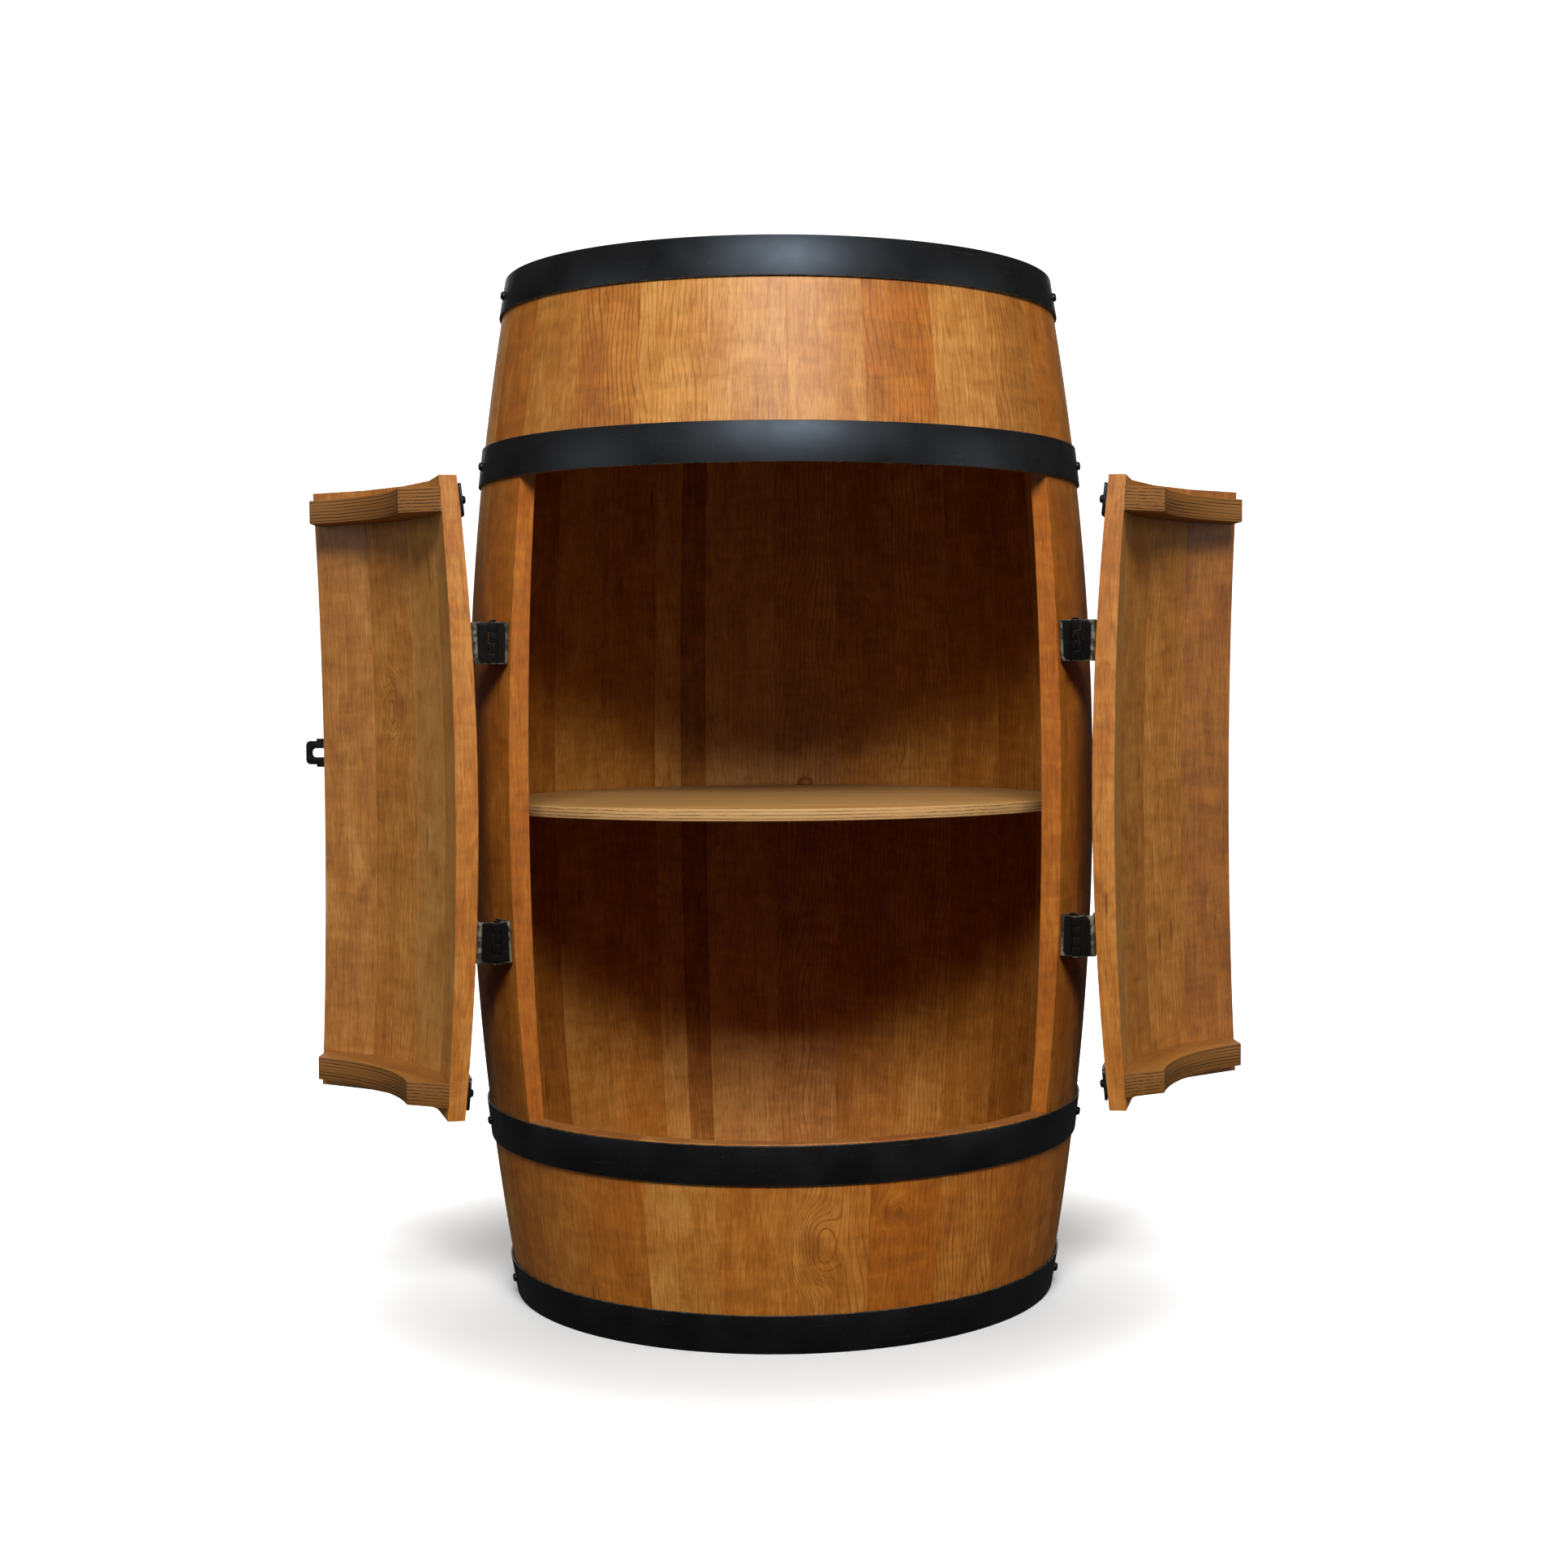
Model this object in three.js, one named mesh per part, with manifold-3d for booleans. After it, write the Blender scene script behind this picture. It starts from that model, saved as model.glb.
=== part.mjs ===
// Barrel bar cabinet: a stave barrel with two curved doors in its front, a shelf inside,
// steel hoops, raised butt hinges and a hasp. Millimetres, +Z up, the front faces -Y.
// Azimuths are turned about the barrel's axis from the front, and grow towards +X.
import * as THREE from "three";
import { mergeVertices } from "three/addons/utils/BufferGeometryUtils.js";
import Module from "manifold-3d";

const wasm = await Module();
wasm.setup();

// Barrel
const barrelHeight = 800;
const bilgeRadius = 250;
const bilgeRise = 35.5;
const endRadius = bilgeRadius - bilgeRise;
const staveCount = 26;
const staveThickness = 18;
const staveEndThickness = 12;
const glueLine = 0.3;
const glueLineDepth = 1.5;
const fitGap = 0.3;
const cutOverrun = 4;

// The origin is on the floor under the middle of the open cabinet, and the hasp reaches out on one side.
const axisFromOrigin = 7.7;

// Heads and the grooves that hold them
const headThickness = 18;
const headTongueThickness = 8;
const headTongue = 7;
const headBevel = 9;
const headRecess = 20;
const crozeDepth = 5;
const chimeBevel = 5;

// Hoops
const hoopHeight = 29.5;
const hoopThickness = 1.9;
const upperHoopDrop = 161.7;
const upperHoopBottom = barrelHeight - upperHoopDrop;
const lowerHoopBottom = 126.6;

// Opening and doors
const doorStaveCount = 4;
const openingOverHoopEdge = 1.7;
const sillOverHoopEdge = 0.7;
const openingTop = upperHoopBottom + openingOverHoopEdge;
const openingBottom = lowerHoopBottom + hoopHeight + sillOverHoopEdge;
const doorTopGap = 2.5;
const doorBottomGap = 3.7;
const doorTop = openingTop - doorTopGap;
const doorBottom = openingBottom + doorBottomGap;
const hingeSideGap = 2;
const meetingGap = 2;
const doorOpenAngle = 206.4;

// Door battens
const battenThickness = 18;
const upperBattenInset = 8.5;
const lowerBattenInset = 10;
const battenStrip = 28;
const battenEndInset = 5;
const battenEndSlant = 14;

// Steel bands across the doors
const bandHeight = 24;
const bandThickness = 2.3;
const bandEndInset = 1.5;
const bandCornerRadius = 2.5;

// Hinges
const hingeHeight = 31;
const upperHingeDrop = 123;
const lowerHingeRise = 132;
const upperHingeHeight = doorTop - upperHingeDrop;
const lowerHingeHeight = doorBottom + lowerHingeRise;
const hingeAxisStandoff = 12.2;
const hingeAxisRadius = bilgeRadius + hingeAxisStandoff;
const leafThickness = 1.8;
const leafInset = 0.6;
const flangeWidth = 27;
const knuckleRadius = 3.4;
const knuckleCount = 4;
const runningGap = 0.3;
const pinRadius = 1.7;
const pinHeadRadius = 2.6;
const pinHeadHeight = 1.6;

// Hasp and staple
const haspAboveMiddle = 28.7;
const haspHeight = barrelHeight / 2 + haspAboveMiddle;
const haspThickness = 2;
const haspPinReach = 32;
const haspPlateReach = 64;
const haspRootHeight = 23.3;
const haspTipHeight = 19.3;
const haspShoulderReach = 18.5;
const haspTipReach = 29;
const haspCornerRadius = 4;
const haspKnuckleRadius = 3;
const haspKnuckleCount = 3;
const haspPinRadius = 1.4;
const slotHeight = 7.2;
const slotStart = 7.5;
const slotEnd = 23.5;
const stapleWireRadius = 1.4;
const stapleSpread = 9;
const stapleReach = 15;
const stapleDepth = 12;

// Shelf and the cleats that carry it
const shelfThickness = 9;
const shelfBelowMiddle = 9;
const shelfTop = barrelHeight / 2 - shelfBelowMiddle;
const shelfClearance = 1.5;
const shelfFrontRadius = 260;
const shelfFrontSetback = 87;
const shelfFrontReach = bilgeRadius - shelfFrontSetback;
const cleatHeight = 12;
const cleatDepth = 15;
const cleatLength = 50;
const cleatStaves = [6, 10, 15, 19];

// How finely round forms are divided
const facetsPerStave = 3;
const headFacets = 32;
const wallSteps = 8;
const smallRoundSides = 10;
const arcSides = 6;

const degree = Math.PI / 180;
const staveAngle = (2 * Math.PI) / staveCount;
const doorAngle = doorStaveCount * staveAngle;
const barrelFacets = staveCount * facetsPerStave;
const middle = barrelHeight / 2;
const staveArcRadius = (middle ** 2 + bilgeRise ** 2) / (2 * bilgeRise);

const wood = { color: 0xb9793a, roughness: 0.45, metalness: 0 };
const innerWood = { color: 0xa8713a, roughness: 0.6, metalness: 0 };
const ply = { color: 0x9a6a3c, roughness: 0.65, metalness: 0 };
const blackSteel = { color: 0x1a1b1d, roughness: 0.4, metalness: 0.6 };

// The barrel's outside follows one arc from end to end, and its wall thins towards the ends.
function outerRadius(z) {
  return bilgeRadius - staveArcRadius + Math.sqrt(staveArcRadius ** 2 - (z - middle) ** 2);
}

function wallThickness(z) {
  const endShare = (z - middle) / middle;
  return staveEndThickness + (staveThickness - staveEndThickness) * (1 - endShare ** 2) ** 2;
}

function innerRadius(z) {
  return outerRadius(z) - wallThickness(z);
}

const wallHeights = Array.from({ length: wallSteps + 1 }, (_, i) => (barrelHeight * i) / wallSteps);

// Geometry into solids and back
function solid(geometry) {
  const bare = geometry.index ? geometry.toNonIndexed() : geometry.clone();
  bare.deleteAttribute("normal");
  bare.deleteAttribute("uv");
  const merged = mergeVertices(bare);
  return new wasm.Manifold(
    new wasm.Mesh({
      numProp: 3,
      vertProperties: merged.attributes.position.array,
      triVerts: new Uint32Array(merged.index.array),
    }),
  );
}

function meshOf(name, body, look) {
  const { numProp, vertProperties, triVerts } = body.getMesh();
  const shared = new THREE.BufferGeometry();
  shared.setAttribute("position", new THREE.BufferAttribute(vertProperties, numProp));
  shared.setIndex(new THREE.BufferAttribute(triVerts, 1));
  const geometry = shared.toNonIndexed();
  geometry.computeVertexNormals();
  const mesh = new THREE.Mesh(geometry, new THREE.MeshStandardMaterial(look));
  mesh.name = name;
  return mesh;
}

// Forms about the barrel's axis. A profile is a list of [radius, height] pairs, and runs up outside.
function revolved(profile, sides) {
  const points = profile.map(([radius, height]) => new THREE.Vector2(radius, height));
  return solid(new THREE.LatheGeometry(points, sides).rotateX(Math.PI / 2));
}

function ring(profile, sides) {
  return revolved([...profile, profile[0]], sides);
}

function outerBody(offset) {
  const wall = wallHeights.map((z) => [outerRadius(z) + offset, z]);
  return revolved([[0, 0], ...wall, [0, barrelHeight]], barrelFacets);
}

// The inside is flat across each stave, so its corners lie on the joints between them.
function flatSided(profile) {
  const corners = profile.map(([radius, height]) => [radius / Math.cos(staveAngle / 2), height]);
  return revolved(corners, staveCount);
}

function innerBody(offset) {
  const heights = [-cutOverrun, ...wallHeights, barrelHeight + cutOverrun];
  const wall = heights.map((z) => [innerRadius(z) + offset, z]);
  return flatSided([[0, -cutOverrun], ...wall, [0, barrelHeight + cutOverrun]]);
}

// A flat strip of steel bent round the barrel's outside.
function skin(thickness, low, high) {
  const profile = [
    [outerRadius(low) + fitGap + thickness, low],
    [outerRadius(high) + fitGap + thickness, high],
    [outerRadius(high) + fitGap, high],
    [outerRadius(low) + fitGap, low],
  ];
  return ring(profile, barrelFacets);
}

// Upright forms from an outline in plan
function upright(points, low, high) {
  const settings = { depth: high - low, bevelEnabled: false };
  const prism = new THREE.ExtrudeGeometry(new THREE.Shape(points), settings);
  return solid(prism.translate(0, 0, low));
}

function planPoint(radius, azimuth, shift = 0) {
  return new THREE.Vector2(
    radius * Math.sin(azimuth) + shift * Math.cos(azimuth),
    -radius * Math.cos(azimuth) + shift * Math.sin(azimuth),
  );
}

// A sector of the barrel's wall, each side drawn in from its radial plane by an inset.
function sector(start, end, startInset, endInset, low, high) {
  const near = endRadius / 2;
  const far = 2 * bilgeRadius;
  const corners = [
    planPoint(near, start, startInset),
    planPoint(far, start, startInset),
    planPoint(far, end, -endInset),
    planPoint(near, end, -endInset),
  ];
  return upright(corners, low, high);
}

function roundBar(radius, low, high) {
  const bar = new THREE.CylinderGeometry(radius, radius, high - low, smallRoundSides);
  return bar.rotateX(Math.PI / 2).translate(0, 0, (low + high) / 2);
}

function box(x0, x1, y0, y1, z0, z1) {
  const block = new THREE.BoxGeometry(x1 - x0, y1 - y0, z1 - z0);
  return solid(block.translate((x0 + x1) / 2, (y0 + y1) / 2, (z0 + z1) / 2));
}

// Barrel wall with a croze groove and a chime bevel at each end
function croze(headLow) {
  const centre = headLow + headThickness / 2;
  const bottom = innerRadius(centre) - cutOverrun;
  const depth = innerRadius(centre) + crozeDepth;
  const half = headTongueThickness / 2 + fitGap;
  const profile = [
    [depth, centre - half],
    [depth, centre + half],
    [bottom, centre + half],
    [bottom, centre - half],
    [depth, centre - half],
  ];
  return flatSided(profile);
}

function chime(endHeight, inwards) {
  const mouth = innerRadius(endHeight) + chimeBevel;
  const cone = [
    [mouth - chimeBevel - cutOverrun, endHeight + inwards * (chimeBevel + cutOverrun)],
    [mouth + cutOverrun, endHeight - inwards * cutOverrun],
  ];
  const axis = cone.map(([, z]) => [0, z]);
  const profile = [axis[0], cone[0], cone[1], axis[1]];
  return flatSided(inwards < 0 ? profile : profile.reverse());
}

const upperHeadLow = barrelHeight - headRecess - headThickness;
const lowerHeadLow = headRecess;
const barrelWall = outerBody(0)
  .subtract(innerBody(0))
  .subtract(croze(upperHeadLow))
  .subtract(croze(lowerHeadLow))
  .subtract(chime(0, 1))
  .subtract(chime(barrelHeight, -1));

function wallPiece(start, end, startInset, endInset, low, high) {
  return barrelWall.intersect(sector(start, end, startInset, endInset, low, high));
}

function staves() {
  const fullCount = staveCount - 2 * doorStaveCount;
  return Array.from({ length: fullCount }, (_, i) => {
    const start = doorAngle + i * staveAngle;
    const end = start + staveAngle;
    const half = glueLine / 2;
    const stave = wallPiece(start, end, half, half, -cutOverrun, barrelHeight + cutOverrun);
    return meshOf(`stave_${String(i + 1).padStart(2, "0")}`, stave, wood);
  });
}

// Where staves are glued edge to edge into one panel, a fine groove marks each joint.
function glueGrooves(firstJoint, lastJoint, bothFaces) {
  const outside = outerBody(-glueLineDepth);
  const inside = innerBody(glueLineDepth);
  const half = -glueLine / 2;
  const grooves = [];
  for (let joint = firstJoint; joint <= lastJoint; joint += 1) {
    const azimuth = joint * staveAngle;
    const cut = sector(azimuth, azimuth, half, half, -cutOverrun, barrelHeight + cutOverrun);
    grooves.push(cut.subtract(outside));
    if (bothFaces) {
      grooves.push(cut.intersect(inside));
    }
  }
  return grooves.reduce((all, groove) => all.add(groove));
}

// The short staves over and under the doors
function frontPanel(name, low, high) {
  const half = glueLine / 2;
  const panel = wallPiece(-doorAngle, doorAngle, half, half, low, high);
  const grooves = glueGrooves(1 - doorStaveCount, doorStaveCount - 1, false);
  return meshOf(name, panel.subtract(grooves), wood);
}

function head(name, low) {
  const centre = low + headThickness / 2;
  const rim = innerRadius(centre) + crozeDepth - fitGap;
  const neck = rim - headTongue;
  const shoulder = neck - headBevel;
  const half = headTongueThickness / 2;
  const profile = [
    [0, low],
    [shoulder, low],
    [neck, centre - half],
    [rim, centre - half],
    [rim, centre + half],
    [neck, centre + half],
    [shoulder, low + headThickness],
    [0, low + headThickness],
  ];
  return meshOf(name, revolved(profile, headFacets), wood);
}

function hoop(name, low) {
  return meshOf(name, skin(hoopThickness, low, low + hoopHeight), blackSteel);
}

// Shelf and cleats
function shelf() {
  const low = shelfTop - shelfThickness;
  const radius = innerRadius(low) - shelfClearance;
  const disc = new THREE.CylinderGeometry(radius, radius, shelfThickness, barrelFacets);
  const front = new THREE.CylinderGeometry(
    shelfFrontRadius,
    shelfFrontRadius,
    shelfThickness + 2 * cutOverrun,
    barrelFacets,
  );
  const centre = low + shelfThickness / 2;
  const frontCentre = shelfFrontRadius - shelfFrontReach;
  const round = solid(disc.rotateX(Math.PI / 2).translate(0, 0, centre));
  const bow = solid(front.rotateX(Math.PI / 2).translate(0, frontCentre, centre));
  return meshOf("shelf", round.intersect(bow), ply);
}

function cleat(number, staveNumber) {
  const high = shelfTop - shelfThickness - fitGap;
  const low = high - cleatHeight;
  const wall = -innerRadius(low);
  const block = new THREE.BoxGeometry(cleatLength, cleatDepth + cutOverrun, cleatHeight);
  block.translate(0, wall + (cleatDepth - cutOverrun) / 2, (low + high) / 2);
  const azimuth = (staveNumber + 0.5) * staveAngle;
  const shaped = solid(block.rotateZ(azimuth)).intersect(innerBody(-fitGap));
  return meshOf(`shelf_cleat_${number}`, shaped, innerWood);
}

// Hinges, made with their radial plane facing the front. side is +1 where the flange lies towards +X.
function knuckleSpan(height, total, count, index) {
  const step = total / count;
  const high = height + total / 2 - index * step;
  return [high - step + runningGap / 2, high - runningGap / 2];
}

function hingeLeaf(height, side, ownKnuckles) {
  const low = height - hingeHeight / 2;
  const high = height + hingeHeight / 2;
  const flangeAngle = flangeWidth / outerRadius(height);
  const edges = side > 0 ? [0, flangeAngle, leafInset, 0] : [-flangeAngle, 0, 0, leafInset];
  const flange = skin(leafThickness, low, high).intersect(
    sector(...edges, low - cutOverrun, high + cutOverrun),
  );
  const near = side * leafInset;
  const far = side * (leafInset + leafThickness);
  const riser = box(
    Math.min(near, far),
    Math.max(near, far),
    -hingeAxisRadius,
    -endRadius,
    low,
    high,
  ).subtract(outerBody(fitGap));
  let leaf = flange.add(riser);
  for (let i = 0; i < knuckleCount; i += 1) {
    const [spanLow, spanHigh] = knuckleSpan(height, hingeHeight, knuckleCount, i);
    if (ownKnuckles.includes(i)) {
      leaf = leaf.add(onHingeAxis(roundBar(knuckleRadius, spanLow, spanHigh)));
    } else {
      const clearance = knuckleRadius + runningGap;
      leaf = leaf.subtract(
        onHingeAxis(roundBar(clearance, spanLow - runningGap, spanHigh + runningGap)),
      );
    }
  }
  const bore = roundBar(pinRadius + runningGap, low - cutOverrun, high + cutOverrun);
  return leaf.subtract(onHingeAxis(bore));
}

function onHingeAxis(geometry) {
  return solid(geometry.translate(0, -hingeAxisRadius, 0));
}

// A pin with a domed head on top, standing on its own axis
function pinProfile(radius, headRadius, headHeight, low, high) {
  const dome = Array.from({ length: arcSides / 2 }, (_, i) => {
    const angle = (i * Math.PI) / arcSides;
    return [headRadius * Math.cos(angle), high + headHeight * Math.sin(angle)];
  });
  return [[0, low], [radius, low], [radius, high], ...dome, [0, high + headHeight]];
}

function hingePin(name, height, azimuth) {
  const low = height - hingeHeight / 2;
  const high = height + hingeHeight / 2 + runningGap / 2;
  const profile = pinProfile(pinRadius, pinHeadRadius, pinHeadHeight, low, high);
  const mesh = meshOf(name, revolved(profile, smallRoundSides), blackSteel);
  const place = planPoint(hingeAxisRadius, azimuth);
  mesh.position.set(place.x, place.y, 0);
  return mesh;
}

// Doors, built closed. side is -1 for the left door and +1 for the right one.
function betweenDoorEdges(side, hingeInset, meetingInset, low, high) {
  const edges =
    side > 0 ? [0, doorAngle, meetingInset, hingeInset] : [-doorAngle, 0, hingeInset, meetingInset];
  return sector(...edges, low, high);
}

function doorPanel(side) {
  const cut = betweenDoorEdges(side, hingeSideGap, meetingGap / 2, doorBottom, doorTop);
  const joints = side > 0 ? [1, doorStaveCount - 1] : [1 - doorStaveCount, -1];
  return barrelWall.intersect(cut).subtract(glueGrooves(...joints, true));
}

// A batten follows the staves outside. Inside it is scalloped, with a straight land at the hinge end.
function batten(side, low) {
  const high = low + battenThickness;
  const centre = (low + high) / 2;
  const wall = innerRadius(centre) / Math.cos(staveAngle / 2);
  const scallop = innerRadius(centre) - battenStrip;
  const corner = planPoint(wall, doorAngle, -hingeSideGap);
  const landEnd = Math.acos(-corner.y / scallop);
  const freeEnd = Math.asin((battenEndInset + battenEndSlant) / scallop);
  const arc = Array.from({ length: arcSides + 1 }, (_, i) =>
    planPoint(scallop, freeEnd + ((landEnd - freeEnd) * i) / arcSides),
  );
  const beyond = bilgeRadius;
  const outline = [
    ...arc,
    corner,
    planPoint(beyond, doorAngle, -hingeSideGap),
    new THREE.Vector2(beyond, -2 * bilgeRadius),
    new THREE.Vector2(battenEndInset, -2 * bilgeRadius),
    new THREE.Vector2(battenEndInset, -wall),
  ];
  const plan = outline.map((point) => new THREE.Vector2(side * point.x, point.y));
  return upright(plan, low, high).intersect(innerBody(-fitGap));
}

// A flat steel band bent round the door, its ends cut square with eased corners
function band(side, height) {
  const low = height - bandHeight / 2;
  const high = height + bandHeight / 2;
  const corner = bandCornerRadius;
  const hingeEnd = hingeSideGap + bandEndInset;
  const meetingEnd = meetingGap / 2 + bandEndInset;
  const middleRow = betweenDoorEdges(side, hingeEnd, meetingEnd, low + corner, high - corner);
  let blank = betweenDoorEdges(side, hingeEnd + corner, meetingEnd + corner, low, high);
  blank = blank.add(middleRow);
  const ends = [
    [side * doorAngle, -side * (hingeEnd + corner)],
    [0, side * (meetingEnd + corner)],
  ];
  for (const [azimuth, shift] of ends) {
    for (const level of [low + corner, high - corner]) {
      const disc = new THREE.CylinderGeometry(corner, corner, bilgeRadius, 2 * arcSides);
      disc.translate(shift, -bilgeRadius, level);
      blank = blank.add(solid(disc.rotateZ(azimuth)));
    }
  }
  return skin(bandThickness, low, high).intersect(blank);
}

const haspLift = haspKnuckleRadius + fitGap;
const haspAxisY = -(Math.sqrt(outerRadius(haspHeight) ** 2 - haspPinReach ** 2) + haspLift);

function onHaspAxis(geometry) {
  return solid(geometry.translate(-haspPinReach, haspAxisY, 0));
}

// The hasp's knuckles: the plate has the outer ones and the flap the middle one.
function haspKnuckles(body, ownKnuckles) {
  let made = body;
  for (let i = 0; i < haspKnuckleCount; i += 1) {
    const [low, high] = knuckleSpan(haspHeight, haspRootHeight, haspKnuckleCount, i);
    const clearance = haspKnuckleRadius + runningGap;
    made = ownKnuckles.includes(i)
      ? made.add(onHaspAxis(roundBar(haspKnuckleRadius, low, high)))
      : made.subtract(onHaspAxis(roundBar(clearance, low - runningGap, high + runningGap)));
  }
  const half = haspRootHeight / 2 + cutOverrun;
  const bore = roundBar(haspPinRadius + runningGap, haspHeight - half, haspHeight + half);
  return made.subtract(onHaspAxis(bore));
}

function haspPlate() {
  const low = haspHeight - haspRootHeight / 2;
  const high = haspHeight + haspRootHeight / 2;
  const start = -Math.asin(haspPlateReach / outerRadius(haspHeight));
  const end = -Math.asin(haspPinReach / outerRadius(haspHeight));
  const plate = skin(haspThickness, low, high).intersect(
    sector(start, end, 0, 0, low - cutOverrun, high + cutOverrun),
  );
  return meshOf("hasp_plate", haspKnuckles(plate, [0, haspKnuckleCount - 1]), blackSteel);
}

// The flap's outline as it is seen from the front, lying in line with its plate
function haspFlapOutline() {
  const root = haspRootHeight / 2;
  const tip = haspTipHeight / 2;
  const shape = new THREE.Shape();
  shape.moveTo(-haspPinReach, -root);
  shape.lineTo(haspShoulderReach, -root);
  shape.lineTo(haspShoulderReach, -tip);
  shape.lineTo(haspTipReach - haspCornerRadius, -tip);
  shape.absarc(
    haspTipReach - haspCornerRadius,
    -tip + haspCornerRadius,
    haspCornerRadius,
    -Math.PI / 2,
    0,
  );
  shape.absarc(
    haspTipReach - haspCornerRadius,
    tip - haspCornerRadius,
    haspCornerRadius,
    0,
    Math.PI / 2,
  );
  shape.lineTo(haspShoulderReach, tip);
  shape.lineTo(haspShoulderReach, root);
  shape.lineTo(-haspPinReach, root);
  const slot = new THREE.Path();
  const slotRound = slotHeight / 2;
  slot.absarc(slotEnd - slotRound, 0, slotRound, -Math.PI / 2, Math.PI / 2);
  slot.absarc(slotStart + slotRound, 0, slotRound, Math.PI / 2, (3 * Math.PI) / 2);
  shape.holes.push(slot);
  return shape;
}

function haspFlap() {
  const settings = { depth: haspThickness, bevelEnabled: false, curveSegments: arcSides / 2 };
  const blank = new THREE.ExtrudeGeometry(haspFlapOutline(), settings);
  blank.rotateX(Math.PI / 2).translate(0, haspAxisY + haspThickness / 2, haspHeight);
  return meshOf("hasp_flap", haspKnuckles(solid(blank), [1]), blackSteel);
}

function haspPin() {
  const low = haspHeight - haspRootHeight / 2;
  const high = haspHeight + haspRootHeight / 2 - runningGap / 2;
  const profile = [
    [0, low],
    [haspPinRadius, low],
    [haspPinRadius, high],
    [0, high],
  ];
  const mesh = meshOf("hasp_pin", revolved(profile, smallRoundSides), blackSteel);
  mesh.position.set(-haspPinReach, haspAxisY, 0);
  return mesh;
}

// A wire staple driven into the right door, standing through the hasp's slot
const stapleCentre = (slotStart + slotEnd) / 2;
const stapleFace = -Math.sqrt(outerRadius(haspHeight) ** 2 - stapleCentre ** 2);

function staple() {
  const bend = stapleSpread / 2;
  const bendY = stapleFace - stapleReach + bend + stapleWireRadius;
  const footY = stapleFace + stapleDepth;
  const bow = Array.from({ length: arcSides + 1 }, (_, i) => {
    const angle = (i * Math.PI) / arcSides;
    return [stapleCentre - bend * Math.cos(angle), bendY - bend * Math.sin(angle)];
  });
  const foot = [stapleCentre - bend, footY];
  const otherFoot = [stapleCentre + bend, footY];
  const route = [foot, ...bow, otherFoot].map(([x, y]) => new THREE.Vector3(x, y, haspHeight));
  const path = new THREE.CurvePath();
  for (let i = 1; i < route.length; i += 1) {
    path.add(new THREE.LineCurve3(route[i - 1], route[i]));
  }
  const wire = new THREE.Shape().absarc(0, 0, stapleWireRadius, 0, 2 * Math.PI);
  const settings = { steps: 3 * arcSides, extrudePath: path, curveSegments: arcSides / 2 };
  return meshOf("staple", solid(new THREE.ExtrudeGeometry(wire, settings)), blackSteel);
}

function stapleHoles() {
  const radius = stapleWireRadius + fitGap;
  const low = stapleFace - cutOverrun;
  const high = stapleFace + stapleDepth + fitGap;
  const legs = [-stapleSpread / 2, stapleSpread / 2].map((shift) => {
    const hole = new THREE.CylinderGeometry(radius, radius, high - low, smallRoundSides);
    return solid(hole.translate(stapleCentre + shift, (low + high) / 2, haspHeight));
  });
  return legs[0].add(legs[1]);
}

// One door with its battens, bands and hinge leaves, hung on its axis
function door(name, side) {
  const pieces = new THREE.Group();
  const panel = side > 0 ? doorPanel(side).subtract(stapleHoles()) : doorPanel(side);
  pieces.add(meshOf(`${name}_panel`, panel, wood));
  const upperBattenLow = doorTop - upperBattenInset - battenThickness;
  const lowerBattenLow = doorBottom + lowerBattenInset;
  const levels = { upper: upperBattenLow, lower: lowerBattenLow };
  for (const [level, low] of Object.entries(levels)) {
    pieces.add(meshOf(`${name}_${level}_batten`, batten(side, low), ply));
    const strip = band(side, low + battenThickness / 2);
    pieces.add(meshOf(`${name}_${level}_band`, strip, blackSteel));
  }
  const doorKnuckles = side > 0 ? [1, 3] : [0, 2];
  for (const [level, height] of Object.entries(hingeHeights)) {
    const leaf = meshOf(
      `${name}_${level}_hinge_leaf`,
      hingeLeaf(height, -side, doorKnuckles),
      blackSteel,
    );
    leaf.rotation.z = side * doorAngle;
    pieces.add(leaf);
  }
  const axis = planPoint(hingeAxisRadius, side * doorAngle);
  pieces.position.set(-axis.x, -axis.y, 0);
  const hung = new THREE.Group();
  hung.add(pieces);
  hung.position.set(axis.x, axis.y, 0);
  hung.rotation.z = side * doorOpenAngle * degree;
  return { hung, pieces };
}

const hingeHeights = { upper: upperHingeHeight, lower: lowerHingeHeight };
const cabinet = new THREE.Group();
cabinet.add(...staves());
cabinet.add(frontPanel("front_top_panel", openingTop, barrelHeight + cutOverrun));
cabinet.add(frontPanel("front_bottom_panel", -cutOverrun, openingBottom));
cabinet.add(head("top_head", upperHeadLow));
cabinet.add(head("bottom_head", lowerHeadLow));
cabinet.add(hoop("top_hoop", barrelHeight - hoopHeight));
cabinet.add(hoop("upper_bilge_hoop", upperHoopBottom));
cabinet.add(hoop("lower_bilge_hoop", lowerHoopBottom));
cabinet.add(hoop("bottom_hoop", 0));
cabinet.add(shelf());
cabinet.add(...cleatStaves.map((staveNumber, i) => cleat(i + 1, staveNumber)));

for (const [name, side] of Object.entries({ left: -1, right: 1 })) {
  const barrelKnuckles = side > 0 ? [0, 2] : [1, 3];
  for (const [level, height] of Object.entries(hingeHeights)) {
    const leaf = meshOf(
      `barrel_${name}_${level}_hinge_leaf`,
      hingeLeaf(height, side, barrelKnuckles),
      blackSteel,
    );
    leaf.rotation.z = side * doorAngle;
    cabinet.add(leaf);
    cabinet.add(hingePin(`${name}_${level}_hinge_pin`, height, side * doorAngle));
  }
}

const leftDoor = door("left_door", -1);
leftDoor.pieces.add(haspPlate(), haspFlap(), haspPin());
const rightDoor = door("right_door", 1);
rightDoor.pieces.add(staple());
cabinet.add(leftDoor.hung, rightDoor.hung);
cabinet.position.x = axisFromOrigin;

export default cabinet;
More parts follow.
